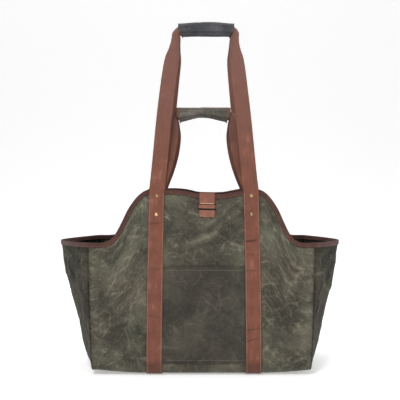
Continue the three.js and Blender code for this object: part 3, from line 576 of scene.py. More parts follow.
def tuck(x, z):
    """Height and worn crests of the tucks."""
    total, crest = 0 * x, 0 * x
    x, z = x + 5 * noise(x, z, 26, 31), z + 5 * noise(x, z, 26, 32)
    for points, width, depth in TUCKS:
        ends = np.array(points, float).reshape(-1, 2)
        gap = np.full(x.shape, 1e3)
        for a, b in zip(ends[:-1], ends[1:]):
            way = b - a
            t = np.clip(((x - a[0]) * way[0] + (z - a[1]) * way[1]) / (way @ way), 0, 1)
            gap = np.minimum(gap, np.hypot(x - mix(a[0], b[0], t), z - mix(a[1], b[1], t)))
        total = total + depth * hill(gap / width)
        crest = np.maximum(crest, (depth > 0) * hill(gap / CREST_WIDTH))
    uneven = 0.85 + 0.45 * noise(x, z, 32, 33)
    return total * uneven, crest * uneven


def body_half(side, c, r):
    """One panel and its half of the base, dented, with pale wear and painted shade."""
    grid = canvas(side, c, r)
    out = canvas_out(side, c, r)
    x, z = grid[..., 0], grid[..., 2]
    flat = np.where(r > 1, BEND_TOP - (r - 1) * 44, z)
    free = cover(c, np.where(r > 1, BEND_TOP, z))
    dents, rub = crumple(x, flat, 1 if side == FRONT else 4)
    tucks, crests = tuck(x, z) if side == FRONT else (0 * x, 0 * x)
    inside_pocket = (c > 1.5) & (c < 5.5) & (z < POCKET_TOP + 3) & (side == FRONT)
    amount = np.where(inside_pocket, 0.15, 1.0) * np.where(r > 1, 0.35, 1.0)
    height = (dents + tucks) * free * amount
    # Painted shade in the drape's hollows, the tucks' hollows and along the seams; tuck crests
    # rubbed pale.
    hollows = np.where(r > 1, 0, np.minimum(drape(side, x, np.clip(z, 0, None)), 0))
    seam_shade = 0.9 * hill((seam_x(z) - np.abs(x)) / 4) * (1 + 0.6 * noise(z, 0 * z, 9, 2))
    rub = rub * (0.3 + 0.7 * amount) + 0.05 * tucks + 0.62 * np.minimum(tucks, 0) + 0.52 * crests
    return grid + out * height[..., None], rub + 0.3 * hollows - seam_shade


c_grid, r_grid = np.meshgrid(columns, half_rows, indexing="ij")
front_half, front_rub = body_half(FRONT, c_grid, r_grid)
rear_half, rear_rub = body_half(REAR, c_grid, r_grid)
body_grid = np.concatenate([front_half, rear_half[:, -2::-1]], 1)
body_rub = np.concatenate([front_rub, rear_rub[:, -2::-1]], 1)
body = cloth(
    "body_canvas_cloth", body_grid, CANVAS, olive, body_grid[..., 0],
    run_length(body_grid[70])[None], rub=body_rub,
)
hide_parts("body_canvas")


# --- Sides ---
# A gusset of the same canvas on each side, that folds outward to a soft point at the rim.
# Its edges are turned in and sewn flat behind both panels and the base.
SEAM_GAP, SEAM_WALL = 1, 1.1
# height share, reach share
SIDE_REACH = [
    (0, 0), (0.03, 0.2), (0.1, 0.36), (0.25, 0.48), (0.375, 0.565), (0.5, 0.665), (0.66, 0.79),
    (0.83, 0.92), (1, 1),
]
# v, height share, slope, width, depth
SIDE_FOLDS = [
    (-0.45, 0.72, 0.35, 0.16, -0.9), (0.42, 0.66, -0.3, 0.16, -0.8), (-0.1, 0.4, 0.5, 0.18, 0.5),
]
# The turned-in edge: how far out and how far behind the panel each of its points lies.
SEAM_TURN = [(SEAM_GAP + 0.4, 0.0), (0.3, 1.2), (-3, 1.9), (-7, 2.0), (-11, 1.9)]


def gusset(hand, v, r):
    """Middle surface of a side at v, -1 front seam to 1 rear seam, and the panel's row r."""
    c = 0.0 if hand == LEFT else 7.0
    front, rear = canvas(FRONT, c, r), canvas(REAR, c, r)
    point = mix(front, rear, ((v + 1) / 2)[..., None])
    foot = canvas(FRONT, c, 2.0)[2]
    share = np.clip((front[..., 2] - foot) / (SIDE_HEIGHT - foot), 0, 1)
    swell = 1 - np.abs(v) ** 1.55
    soft = 0
    for fv, fz, slope, width, depth in SIDE_FOLDS:
        soft = soft + depth * hill((v - fv - slope * (share - fz)) / width)
    soft = soft * FOLD_DEPTH * smooth(0.1, 0.5, share) * smooth(0, 0.4, 1 - np.abs(v))
    bulge = (REACH_LEFT if hand == LEFT else REACH_RIGHT) * curve(SIDE_REACH, share)
    reach = bulge * swell + soft * smooth(0, 0.25, 1 - share)
    point[..., 0] += hand * (SEAM_GAP + reach)
    point[..., 2] -= GUSSET_SAG * swell * share**3
    return point


# The sides' canvas is the panels' canvas painted half as bright, as shade on the sides.
shaded_side_canvas = waxed_canvas(
    "waxed_side_canvas_shaded", dark=(0.020, 0.018, 0.014), body=(0.041, 0.036, 0.028),
    mark=(0.12, 0.11, 0.083), seed=1.7, gloss=0.05,
)
side_v, side_r = np.meshgrid(np.linspace(-1, 1, 67), spaced((2, 1, 12), (1, 0, 66)), indexing="ij")
seam_rows = spaced((0.012, 1, 60), (1, 2, 12), (2, 3, 12))
for hand, name in ((LEFT, "left"), (RIGHT, "right")):
    grid = gusset(hand, side_v, side_r)
    free = smooth(0.02, 0.16, 1 - np.abs(side_v)) * smooth(0.03, 0.12, side_r)
    free = free * smooth(0, 0.5, 2 - side_r)
    dents, rub = crumple(grid[..., 1] * 1.1, grid[..., 2], 13 + hand)
    grid = grid + grid_out(grid) * (dents * free)[..., None] * 1.5
    # Painted shade along the seams.
    rub = rub - hill((1 - np.abs(side_v)) / 0.05)
    side = cloth(
        f"side_gusset_{name}_cloth", grid, CANVAS, shaded_side_canvas, grid[..., 1], grid[..., 2], rub=rub
    )
    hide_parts(f"side_gusset_{name}")
    c = 0.0 if hand == LEFT else 7.0
    edge, out = (
        np.concatenate([where(FRONT, c, seam_rows), where(REAR, c, seam_rows[-2::-1])])
        for where in (canvas, canvas_out)
    )
    lines = [edge - out * behind + np.array([hand * step, 0, 0]) for step, behind in SEAM_TURN]
    seam = np.stack(lines, 1)
    allowance = cloth(
        f"side_seam_{name}_cloth", seam, SEAM_WALL, shaded_side_canvas, seam[..., 1], seam[..., 2]
    )


# --- Front pocket ---
# A flat patch of canvas with a hemmed top, sewn along the bottom, its sides caught under the
# straps. It is handled less than the panels.
POCKET_BELLY, POCKET_UNDER, POCKET_HEM = 4, 23, 0.8
# It is cut from another part of the cloth, so its marks don't run on from the panel's.
PATTERN_SHIFT = 300
under = POCKET_UNDER / WEB_WIDTH
pocket_c, pocket_t = np.meshgrid(
    np.linspace(2 - under, 5 + under, 84), np.linspace(0, 1, 56), indexing="ij"
)
pocket_r = mix(row_of(pocket_c, POCKET_TOP), 1.0, pocket_t)
pocket_free = smooth(0.02, 0.25, pocket_c - 2) * smooth(0.02, 0.25, 5 - pocket_c)
pocket_u = np.clip((pocket_c - 2) / 3, 0, 1)
pocket_fill = np.sin(np.pi * pocket_u) * np.sin(np.pi * mix(0.18, 1, pocket_t))
pocket_grid = canvas(FRONT, pocket_c, pocket_r)
pocket_dents, pocket_rub = crumple(pocket_grid[..., 0], pocket_grid[..., 2], 6)
pocket_lift = CANVAS + GAP + POCKET_BELLY * pocket_fill
pocket_lift = pocket_lift + 0.8 * (0.4 + pocket_dents) * pocket_free * smooth(0, 0.1, 1 - pocket_t)
hem = POCKET_HEM * smooth(0.055, 0.04, pocket_t) * pocket_free
pocket_lift = np.maximum(pocket_lift, CANVAS + GAP) + hem
pocket_grid = pocket_grid + canvas_out(FRONT, pocket_c, pocket_r) * pocket_lift[..., None]
pocket_canvas = waxed_canvas(
    "waxed_pocket_canvas", dark=(0.032, 0.029, 0.023), body=(0.054, 0.049, 0.038),
    mark=(0.145, 0.134, 0.10), seed=4.2, wear=0.46,
)
# Its crease marks carry painted shade in the hollows, as on the panels.
pocket = cloth(
    "front_pocket_cloth", pocket_grid, CANVAS, pocket_canvas,
    pocket_grid[..., 0] + PATTERN_SHIFT, pocket_grid[..., 2], rub=0.6 * pocket_rub,
)
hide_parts("front_pocket")


# --- Rim binding ---
# A narrow dark red-brown tape folded over the cut edge of the whole rim and sewn through.
# The stitching presses it a little thinner than the cloth that it covers.
BINDING_HEIGHT, BINDING, BINDING_EASE, BINDING_PRESS = 10.4, 1.0, 0.9, 0.1
# across share, and down share: of the height below the rim, of the crown above it
BINDING_HALF = [
    (1, 1.0), (1, 0.75), (1, 0.5), (1, 0.28), (0.97, 0.1), (0.84, -0.02), (0.58, -0.1),
    (0.3, -0.14), (0, -0.15),
]
BINDING_CROWN = 6 * (BINDING_EASE + BINDING / 2)
# Paler brown near the grips: partly hand wear, partly a painted sheen.
HANDLED_SHEEN_BROWN = (0.178, 0.086, 0.068)


def woven_tape(name, low, high, mark, pitch):
    """Woven tape or webbing: ribs across, a twill of finer threads, worn places and painted shade.
    """
    m, shader = new_material(name, Roughness=0.8, Sheen_Weight=0.1, Specular_IOR_Level=0.3)
    place = add_node(m, "TexCoord")
    rib = add_node(
        m, "TexWave", ("Vector", place, "UV"), bands_direction="Y",
        Scale=0.314 / pitch, Distortion=0.3, Detail=1.0,
    )
    twill = add_node(
        m, "TexWave", ("Vector", place, "UV"), bands_direction="DIAGONAL",
        Scale=0.25 / pitch, Distortion=0.5,
    )
    woven = math_node(m, "ADD", (rib, "Fac"), (twill, "Fac"))
    cloud = clouds(m, place, "Object", 34, 5, 0.6)
    band = add_node(m, "Mapping", ("Vector", place, "UV"), Scale=(120, 22, 1))
    streak = remap(m, clouds(m, band, 0, 1, 4, 0.6), "Fac", 0.3, 0.7, -0.16, 0.16)
    blend = math_node(m, "ADD", (cloud, "Fac"), (streak, 0))
    color = ramp(m, blend, 0, [(0.3, low), (0.62, high), (0.78, mark)])
    # Painted shade where it turns under the base and in its creases. Paler near the grips,
    # partly worn by hands and partly a painted sheen.
    height = add_node(m, "SeparateXYZ", ("Vector", place, "Object"))
    crease = add_node(m, "Attribute", attribute_name="crease")
    # Painted shade where it turns under the base.
    underside_shade = remap(m, height, "Z", 0.027, 0.042, 0.62, 1.0)
    shade = math_node(m, "MULTIPLY", (remap(m, woven, 0, 0, 2, 0.78, 1.12), 0), (underside_shade, 0))
    # Painted shade in the hollows under the long straps' creases, and over the short handles.
    shade = math_node(m, "MULTIPLY", (shade, 0), (remap(m, crease, "Fac", 0, 1, 1.0, 0.22), 0))
    # Paler and browner towards the grips: partly hand wear, partly a painted sheen.
    handled_and_sheen = remap(m, height, "Z", 0.46, 0.76, 0.0, 0.7)
    color = tint_over(m, (handled_and_sheen, 0), (color, 0), HANDLED_SHEEN_BROWN)
    connect(m, shader, "Base Color", tone_by(m, (color, 2), (shade, 0)))
    bump = add_node(m, "Bump", ("Height", woven, 0), Strength=0.6, Distance=0.0005)
    connect(m, shader, "Normal", bump)
    return m


binding_tape = woven_tape(
    "dark_binding_tape", low=(0.060, 0.024, 0.019), high=(0.092, 0.037, 0.028),
    mark=(0.14, 0.066, 0.05), pitch=0.0016,
)


def rim_path():
    """Points round the rim, the cloth's normals and points below: front, right, rear, left."""
    c = np.linspace(0, 7, 230)[1:-1]
    v = np.linspace(-1, 1, 60)[1:-1]
    step, below = 0.02, 0.06
    runs = []
    for side, hand, along, across in ((FRONT, RIGHT, c, v), (REAR, LEFT, c[::-1], v[::-1])):
        r = 0 * along
        low = canvas(side, along, r + below)
        runs.append((canvas(side, along, r), canvas_out(side, along, r), low))
        r = 0 * across
        here, low = gusset(hand, across, r), gusset(hand, across, r + below)
        way = gusset(hand, across + step, r) - gusset(hand, across - step, r)
        out = unit(np.cross(way, low - here))
        runs.append((here, out * np.sign(out[..., :1]) * hand, low))
    return [np.concatenate(part) for part in zip(*runs)]


rim_here, rim_out, rim_low = rim_path()
# The corners are rounded by averaging the normal over its neighbours.
for _ in range(3):
    rim_out = unit(np.roll(rim_out, 1, 0) + 2 * rim_out + np.roll(rim_out, -1, 0))
rim_along = unit(np.roll(rim_here, -1, 0) - np.roll(rim_here, 1, 0))
rim_down = unit(np.cross(rim_along, rim_out))
rim_down *= np.sign(np.einsum("ij,ij->i", rim_down, rim_low - rim_here))[:, None]
offset = CANVAS / 2 + BINDING_EASE + BINDING / 2 - BINDING_PRESS
rim_length = run_length(rim_here)
ripple = 0.25 * noise(rim_length, 0 * rim_length, 26, 3)
section = BINDING_HALF + [(-s, d) for s, d in BINDING_HALF[-2::-1]]
lines = []
for s, d in section:
    aside = s * (offset + np.sign(s) * 0.4 * ripple * (abs(s) == 1))
    below = d * (BINDING_HEIGHT + 0.8 * ripple if d > 0 else BINDING_CROWN + 0 * ripple)
    lines.append(rim_here + rim_out * aside[:, None] + rim_down * below[:, None])
binding = cloth(
    "rim_binding_tape", np.stack(lines, 1), BINDING, binding_tape,
    np.linspace(0, 30, len(section))[None], rim_length[:, None], loop_i=True,
)
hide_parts("rim_binding")


# --- Long straps and short handles ---
# Reddish-brown cotton webbing that curls lengthwise into the grips. A long strap runs from
# the middle of the base up a panel, through the upper grip and back. A short handle's tails
# are sewn and riveted between the panel and the long strap.
# The short handles' webbing is painted darker all over, as shade behind the long straps.
TAIL_LENGTH, REAR_DRAW, SHORT_WEB, SHORT_HANDLE_SHADE = 76, 6, 1.3, 0.2
# leg, up from the rim: rise, span, curl
# inside, from the grip's end to its middle: along, dip, curl, sink, tall
LONG = dict(
    height=858, half=71.5, shift=12,
    leg=[
        (0.06, 0.935, 0), (0.16, 0.85, 0), (0.28, 0.755, 0), (0.41, 0.65, 0), (0.55, 0.515, 0),
        (0.69, 0.365, 0.05), (0.81, 0.215, 0.45), (0.875, 0.135, 1.3), (0.912, 0.1, 1.75),
        (0.944, 0.078, 1.9), (0.968, 0.065, 1.95),
    ],
    inside=[
        (1, 7.5, 1.95, 3, 0.7), (0.9, 4, 1.7, 2.4, 0.6), (0.6, 1.2, 1.25, 1, 0.3),
        (0.3, 0.3, 1.02, 0.3, 0.1), (0, 0, 1, 0, 0),
    ],
)
SHORT = dict(
    height=646, half=69.5, shift=5,
    leg=[
        (0.1, 0.86, 0), (0.22, 0.7, 0), (0.36, 0.54, 0), (0.5, 0.41, 0.05), (0.64, 0.31, 0.2),
        (0.76, 0.23, 0.7), (0.86, 0.16, 1.4), (0.92, 0.09, 1.8),
    ],
    inside=[
        (1, 9.5, 1.8, 7, 3.6), (0.85, 7, 1.75, 6, 3.2), (0.55, 3.6, 1.8, 3.6, 1.8),
        (0.25, 1, 1.95, 1, 0.2), (0, 0, 2, 0, 0),
    ],
)
ON_CANVAS = CANVAS / 2 + GAP + WEB / 2
OVER_BINDING = CANVAS / 2 + BINDING_EASE + BINDING + GAP + WEB / 2
ACROSS = np.linspace(-1, 1, 17)
# curl, and the turn in degrees of the webbing's middle and of its edges
MIDDLE_CURL, EDGE_CURL = [(0, 0), (1, 20), (2, 55)], [(0, 0), (1, 60), (2, 75)]
# creases across the straps: side, hand, height above the floor, slope, depth
WEB_CREASES = [
    (FRONT, RIGHT, 329, 0.1, 1.9), (FRONT, RIGHT, 117, 0.12, 1.3), (FRONT, RIGHT, 93, 0.3, 1.3),
    (FRONT, RIGHT, 258, -0.05, 0.8), (FRONT, RIGHT, 296, -0.1, 0.6), (FRONT, LEFT, 372, 0.05, 0.9),
    (FRONT, LEFT, 262, 0.02, 0.8), (FRONT, LEFT, 150, -0.15, 0.5),
    (REAR, LEFT, 300, 0.15, 1.4), (REAR, RIGHT, 140, -0.3, 1.4),
]
# Width of the painted shade under each crease; it also scales that shade's strength.
CREASE_SHADE_WIDTH = 1.9

web = woven_tape(
    "brown_webbing", low=(0.152, 0.054, 0.033), high=(0.203, 0.073, 0.046),
    mark=(0.27, 0.112, 0.078), pitch=0.0019,
)


def curled(curl):
    """Section of the webbing: how far out and how far back each of its points lies."""
    near, far = (np.radians(curve(rows, curl)) for rows in (MIDDLE_CURL, EDGE_CURL))
    fine = np.linspace(0, WEB_WIDTH / 2, 65)
    t = fine / (WEB_WIDTH / 2)
    angle = np.where(t < 0.5, near * np.minimum(1, t * 4), mix(near, far, smooth(0.4, 0.75, t)))
    step = fine[1] - fine[0]
    out = np.concatenate([[0], np.cumsum(np.cos(angle[1:]) * step)])
    back = np.concatenate([[0], np.cumsum(np.sin(angle[1:]) * step)])
    s = np.abs(ACROSS) * WEB_WIDTH / 2
    return np.sign(ACROSS) * np.interp(s, fine, out), np.interp(s, fine, back)


def tail_lift(z, rim):
    return mix(ON_CANVAS, OVER_BINDING, smooth(BINDING_HEIGHT + 9, BINDING_HEIGHT + 1, rim - z))


def strap_lift(side, r, z, rim):
    tail_end = PANEL_HEIGHT - TAIL_LENGTH
    over_tail = smooth(tail_end - 9, tail_end - 1, z)
    lift = mix(ON_CANVAS, tail_lift(z, rim) + WEB + GAP, over_tail)
    if side == FRONT:
        over_pocket = smooth(POCKET_TOP + 8, POCKET_TOP + 1, z) * smooth(1.3, 1.0, r)
        lift = lift + (CANVAS + GAP) * over_pocket
    return lift


def above_crease(points, hand, height, slope):
    """How far points lie above a crease, and how far aside from the strap's middle."""
    aside = points[..., 0] - web_x(hand, height)
    waver = 2 * noise(points[..., 0], 0 * aside, 15, 4)
    return points[..., 2] - height - slope * aside + waver, aside


def web_crease_shade(grid, side):
    """Painted shade: 1 in the hollow under each crease of a long strap."""
    total = 0 * grid[..., 0]
    for crease_side, hand, height, slope, depth in WEB_CREASES:
        if crease_side == side:
            off, aside = above_crease(grid, hand, height, slope)
            reach = smooth(WEB_WIDTH * 0.62, WEB_WIDTH * 0.2, np.abs(aside + 4))
            reach = reach * (np.sign(grid[..., 1]) == side)
            total = total + depth / CREASE_SHADE_WIDTH * reach * hill((off + 2.6) / CREASE_SHADE_WIDTH)
    return np.clip(total, 0, 1)


def panel_run(side, hand, rows, long):
    """Webbing along rows of a panel, each from its outer to its inner edge."""
    c = (1.5 + 0.5 * ACROSS if hand == LEFT else 5.5 - 0.5 * ACROSS) + 0 * rows[:, None]
    r = rows[:, None] + 0 * c
    base = canvas(side, c, r)
    rim = rim_z(c)
    if not long:
        return base + canvas_out(side, c, r) * tail_lift(base[..., 2], rim)[..., None]
    waves = 0.35 * noise(base[..., 0] * 0.6 + 90 * hand, base[..., 2] + 40 * side, 24, 8)
    waves = waves * smooth(0.03, 0.12, r) * smooth(1, 0.9, r)
    for crease_side, crease_hand, height, slope, depth in WEB_CREASES:
        if (crease_side, crease_hand) == (side, hand):
            off, _ = above_crease(base, hand, height, slope)
            waves = waves + depth * np.where(off > 0, hill(off / 6), hill(off / 1.8))
    lift = strap_lift(side, r, base[..., 2], rim) + np.maximum(waves, -0.1)
    points = base + canvas_out(side, c, r) * lift[..., None]
    points[r[:, 0] >= 3, :, 1] = side * GAP / 2
    return points


def spline(points, count):
    """Evenly spaced points on a smooth curve through the given ones; all columns curve alike."""
    points = np.asarray(points, float)
    gaps = np.linalg.norm(np.diff(points[:, :3], axis=0), axis=1) ** 0.5
    k = np.concatenate([[0], np.cumsum(gaps)])
    dense = np.linspace(0, k[-1], count * 8)
    fine = np.stack([curve(np.stack([k, column], 1), dense) for column in points.T], 1)
    run = run_length(fine[:, :3])
    even = np.linspace(0, run[-1], count)
    return np.stack([np.interp(even, run, column) for column in fine.T], 1)


def stand_off(curl):
    """How far the middle of curled webbing stands from the one that it backs on to."""
    _, back = curled(curl)
    return back[0] + WEB / 2 + GAP


def half_path(side, hand, kind, start):
    """Places and curl of a loop's middle line, from the rim up to the middle of the grip."""
    climb = kind["height"] - PANEL_HEIGHT
    out = abs(start[0] - WEB_SHIFT)
    grip = stand_off(kind["inside"][0][2])
    points = []
    for rise, span, curl in kind["leg"]:
        middle = mix(WEB_SHIFT, kind["shift"], rise**8)
        draw = REAR_DRAW * math.sin(math.pi * rise) if side == REAR else 0
        x = middle + hand * (mix(kind["half"], out, span) - draw)
        y = side * mix(abs(start[1]), grip, rise)
        points.append((x, y, PANEL_HEIGHT + climb * rise, curl))
    for along_grip, dip, curl, _, _ in kind["inside"]:
        x = kind["shift"] + hand * kind["half"] * along_grip
        points.append((x, side * stand_off(curl), kind["height"] - dip, curl))
    return points


def free_run(side, kind, start_left, start_right, count):
    """The free part of a loop, from the left rim through the grip to the right rim."""
    left = half_path(side, LEFT, kind, start_left)
    right = half_path(side, RIGHT, kind, start_right)
    path = [(*start_left, 0)] + left + right[-2::-1] + [(*start_right, 0)]
    path = spline(path, count)
    way = unit(np.gradient(path[:, :3], axis=0))
    face = np.array([0, side, 0.0])
    front = unit(face - way * (way @ face)[:, None])
    outer = np.cross(front, way) * -side
    rows = []
    for here, o, f in zip(path, outer, front):
        out, back = curled(max(0.0, here[3]))
        rows.append(here[:3] - o * out[:, None] - f * back[:, None])
    return np.array(rows)


def webbing_loop(name, side, long, kind):
    """One piece of webbing from its left end to its right one."""
    tail_end = row_of(np.array([1.5]), PANEL_HEIGHT - TAIL_LENGTH)[0]
    rows = spaced((3, 2, 26), (2, 1, 12), (1, 0, 150)) if long else np.linspace(tail_end, 0, 24)
    left = panel_run(side, LEFT, rows, long)
    right = panel_run(side, RIGHT, rows, long)[::-1]
    middle = len(ACROSS) // 2
    free = free_run(side, kind, left[-1, middle], right[0, middle], 230 if long else 130)
    grid = np.concatenate([left[:-1], free, right[1:]])
    piece = cloth(
        f"{name}_webbing", grid, WEB if long else SHORT_WEB, web,
        (ACROSS * WEB_WIDTH / 2)[None], run_length(grid[:, middle])[:, None],
        crease=web_crease_shade(grid, side) if long else SHORT_HANDLE_SHADE,
    )
    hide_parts(name)
    return grid


webs = {}
for side, word in ((FRONT, "front"), (REAR, "rear")):
    webs[side] = webbing_loop(f"{word}_long_strap", side, True, LONG)
    webbing_loop(f"{word}_short_handle", side, False, SHORT)


# --- Grips ---
# A sleeve of canvas round both webbings of a pair, its flap sewn down underneath. The upper
# one is slate-coloured. The lower one is olive with brown edges, and pinched at its middle.
GRIP_WALL, GRIP_EASE, GRIP_SLANT, GRIP_SQUARE, GRIP_ROUND = 1.5, 1.1, 13, 2.4, 48
# degrees round a sleeve: 0 its rear, 90 its top, 180 its front
GRIP_TOP, FOLD_LINES, FLAP_EDGES = 90, (160, 20), (205, 335)
HEM_SHARE = 0.9
slate = waxed_canvas(
    "slate_canvas", dark=(0.034, 0.035, 0.043), body=(0.07, 0.071, 0.083),
    mark=(0.15, 0.15, 0.165), scale=1.8, seed=3.0, wear=0.55,
)
olive_grip = waxed_canvas(
    "olive_grip_canvas", dark=(0.062, 0.060, 0.053), body=(0.128, 0.121, 0.105),
    mark=(0.25, 0.24, 0.20), scale=1.8, seed=5.0, wear=0.6,
)


def grip(name, kind, material, brown):
    """A sleeve as wide as the curled webbing in it; brown is the wear of its hems and top."""
    table = np.array(kind["inside"])[::-1]
    along_grip = np.linspace(-1, 1, 61)
    a = np.abs(along_grip)
    dip, curl, sink, tall_extra = (curve(table[:, [0, j]], a) for j in (1, 2, 3, 4))
    turn = np.linspace(0, 2 * np.pi, GRIP_ROUND + 1)[:-1]
    cos, sin = (
        np.sign(f(turn)) * np.abs(f(turn)) ** (2 / GRIP_SQUARE) for f in (np.cos, np.sin)
    )
    room = WEB / 2 + GRIP_EASE + GRIP_WALL / 2
    rows = []
    for k in range(len(along_grip)):
        out, back = curled(curl[k])
        stand = stand_off(curl[k])
        deep = stand + room
        share = np.minimum(0.97, (stand - back + WEB / 2) / deep)
        rest = (1 - share**GRIP_SQUARE) ** (1 / GRIP_SQUARE)
        tall = np.max(np.where(np.abs(out) > 0, (np.abs(out) + dip[k] - sink[k]) / rest, 0))
        tall = tall + room + tall_extra[k]
        cut = GRIP_SLANT * np.maximum(0, -sin) * smooth(0.86, 1, a[k])
        x = kind["shift"] + along_grip[k] * (kind["half"] - cut)
        rows.append(np.stack([x, deep * cos, kind["height"] - sink[k] + tall * sin], -1))
    grid = np.array(rows)
    around = turn[None] + 0 * grid[..., 0]
    lap = np.degrees(around)
    loose = smooth(0.25, 0.8, a)[:, None]
    ends = smooth(0.91, 0.93, a)[:, None]
    dents = 0.45 * crumple(grid[..., 0] * 0.8, around * 30, 21)[0] * (1 - ends)
    # The flap's edge runs along the lower front and rear, above a shallow groove.
    for middle in FLAP_EDGES:
        dents = dents + 0.7 * hill((lap - middle - 14) / 12) - 0.8 * hill((lap - middle) / 7)
    for middle in FOLD_LINES:
        dents = dents - 1.1 * hill((lap - middle) / 8) * loose
    height = np.clip(dents, -1.1, 1.4) + 0.5 * ends
    grid = grid + grid_out(grid, loop_j=True) * height[..., None]
    # Painted shade in the fold lines, under the flap's edges and over the underside; dark lines at
    # the hems.
    groove = 0.9 * sum(hill((lap - middle) / 8) for middle in FOLD_LINES) * loose
    groove = groove + sum(hill((lap - middle) / 9) for middle in FLAP_EDGES)
    groove = groove + 1.1 * hill((a - HEM_SHARE) / 0.016)[:, None]
    under = smooth(215, 240, lap) * smooth(325, 300, lap)
    worn = 0.85 * smooth(0.82, HEM_SHARE, a)[:, None] + 0.8 * hill((lap - GRIP_TOP) / 38)
    piece = cloth(
        f"{name}_canvas", grid, GRIP_WALL, material, grid[..., 0],
        (np.arange(GRIP_ROUND) * 2.2)[None], loop_j=True,
        rub=0.5 * dents - 1.1 * groove - 0.6 * under, edge=brown * np.clip(worn, 0, 0.9),
    )
    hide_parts(name)
    return grid


long_grip = grip("long_handle_wrap", LONG, slate, brown=0.12)
short_grip = grip("short_handle_wrap", SHORT, olive_grip, brown=1.0)


# --- Closure tab and patch ---
# A piece of the webbing folded over the front rim, with its end folded back on itself, and a
# short patch of it sewn on below. A near-black strip lies behind them, so the gaps show dark.
TAB_DROP, TAB_INSIDE, PATCH_GAP, PATCH_HEIGHT, PATCH_LIFT = 36, 30, 2.2, 16.5, 0.6
TAB_FOLD, END_TOP, END_FOOT, END_SINK = 24.3, 25.8, 33.8, 0.3
BACKING_TOP, BACKING_FOOT, BACKING, BACKING_LIFT = 22, 37.4, 0.8, 0.7
tab_c = np.linspace(3, 4, 17)
worn_web = woven_tape(
    "worn_brown_webbing", low=(0.21, 0.078, 0.05), high=(0.26, 0.10, 0.066),
    mark=(0.31, 0.14, 0.10), pitch=0.0019,
)
dark_tape = woven_tape(
    "dark_backing_tape", low=(0.012, 0.007, 0.006), high=(0.022, 0.012, 0.010),
    mark=(0.04, 0.02, 0.018), pitch=0.0016,
)


def down_front(columns, drops, lift):
    """Points on the front panel at each drop below the rim, that far off the canvas."""
    rows = []
    for drop in drops:
        r = row_of(columns, rim_z(columns) - drop)
        rows.append(canvas(FRONT, columns, r) + canvas_out(FRONT, columns, r) * lift)
    return rows


def tab_piece(name, rows, material, wall=WEB):
    """A short flat piece, from rows of points across it."""
    grid = np.array(rows)
    run = run_length(grid[:, 7])
    piece = cloth(name, grid, wall, material, ((tab_c - 3.5) * TAB_WIDTH)[None], run[:, None])
    return piece, grid


rim_point, rim_normal = canvas(FRONT, tab_c, 0 * tab_c), canvas_out(FRONT, tab_c, 0 * tab_c)
rim_up = unit(rim_point - canvas(FRONT, tab_c, 0 * tab_c + 0.04))
tab_top = BINDING_EASE + BINDING + 2 * GAP + WEB / 2
tab_rows = down_front(tab_c, np.linspace(TAB_FOLD, 4, 12), OVER_BINDING)
for turn in np.radians(np.linspace(4, 176, 15)):
    cos, sin = math.copysign(abs(math.cos(turn)) ** 0.5, math.cos(turn)), math.sin(turn) ** 0.5
    tab_rows.append(rim_point + rim_normal * OVER_BINDING * cos + rim_up * tab_top * sin)
tab_rows += down_front(tab_c, np.linspace(4, TAB_INSIDE, 10), -OVER_BINDING)
tab, tab_grid = tab_piece("closure_tab_webbing", tab_rows, worn_web)
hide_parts("closure_tab")
end_rows = down_front(
    mix(3.5, tab_c, 1.05), np.linspace(END_TOP, END_FOOT, 7), OVER_BINDING - END_SINK
)
_, end_grid = tab_piece("closure_tab_end", end_rows, worn_web)
backing_rows = down_front(
    mix(3.5, tab_c, 1.09), np.linspace(BACKING_TOP, BACKING_FOOT, 9), CANVAS / 2 + BACKING_LIFT
)
tab_piece("closure_tab_backing", backing_rows, dark_tape, BACKING)
patch_top = TAB_DROP + PATCH_GAP
patch_rows = down_front(
    tab_c, np.linspace(patch_top, patch_top + PATCH_HEIGHT, 9), ON_CANVAS + PATCH_LIFT
)
patch, patch_grid = tab_piece("closure_patch_webbing", patch_rows, worn_web)
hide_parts("closure_patch")


# --- Rivets ---
# Two pale brass rivets through each strap and handle tail: a domed cap with a flat rim. Their
# backs are hidden in the bag.
RIVET_RADIUS, RIVET_DROPS, RIVET_ROUND, RIVET_GAP = 4.2, (16, 61), 24, 0.15
# radius share, height in millimetres
RIVET_PROFILE = [
    (0, 0), (0.97, 0), (1, 0.15), (1, 0.45), (0.95, 0.62), (0.84, 0.7), (0.8, 0.85),
    (0.72, 1.25), (0.5, 1.62), (0.25, 1.78), (0, 1.82),
]
TARNISH, BRASS = (0.42, 0.27, 0.13), (0.88, 0.66, 0.38)
brass, metal = new_material("dulled_brass", Metallic=1.0)
rivet_place = add_node(brass, "TexCoord")
tarnish = clouds(brass, rivet_place, "Object", 420, 4)
metal_tone = ramp(brass, tarnish, "Fac", [(0.35, TARNISH), (0.7, BRASS)])
dulled = remap(brass, clouds(brass, rivet_place, "Object", 31, 0), "Fac", 0.4, 0.6, 0.5, 1.05)
connect(brass, metal, "Base Color", tone_by(brass, (metal_tone, 0), (dulled, 0)))
connect(brass, metal, "Roughness", remap(brass, tarnish, "Fac", 0, 1, 0.2, 0.45))


def ring_faces(rings, around):
    """Faces between rings of points, each ring joined to the next."""
    faces = []
    for i in range(0, (rings - 1) * around, around):
        for j in range(around):
            k = (j + 1) % around
            faces.append((i + j, i + k, i + around + k, i + around + j))
    return faces


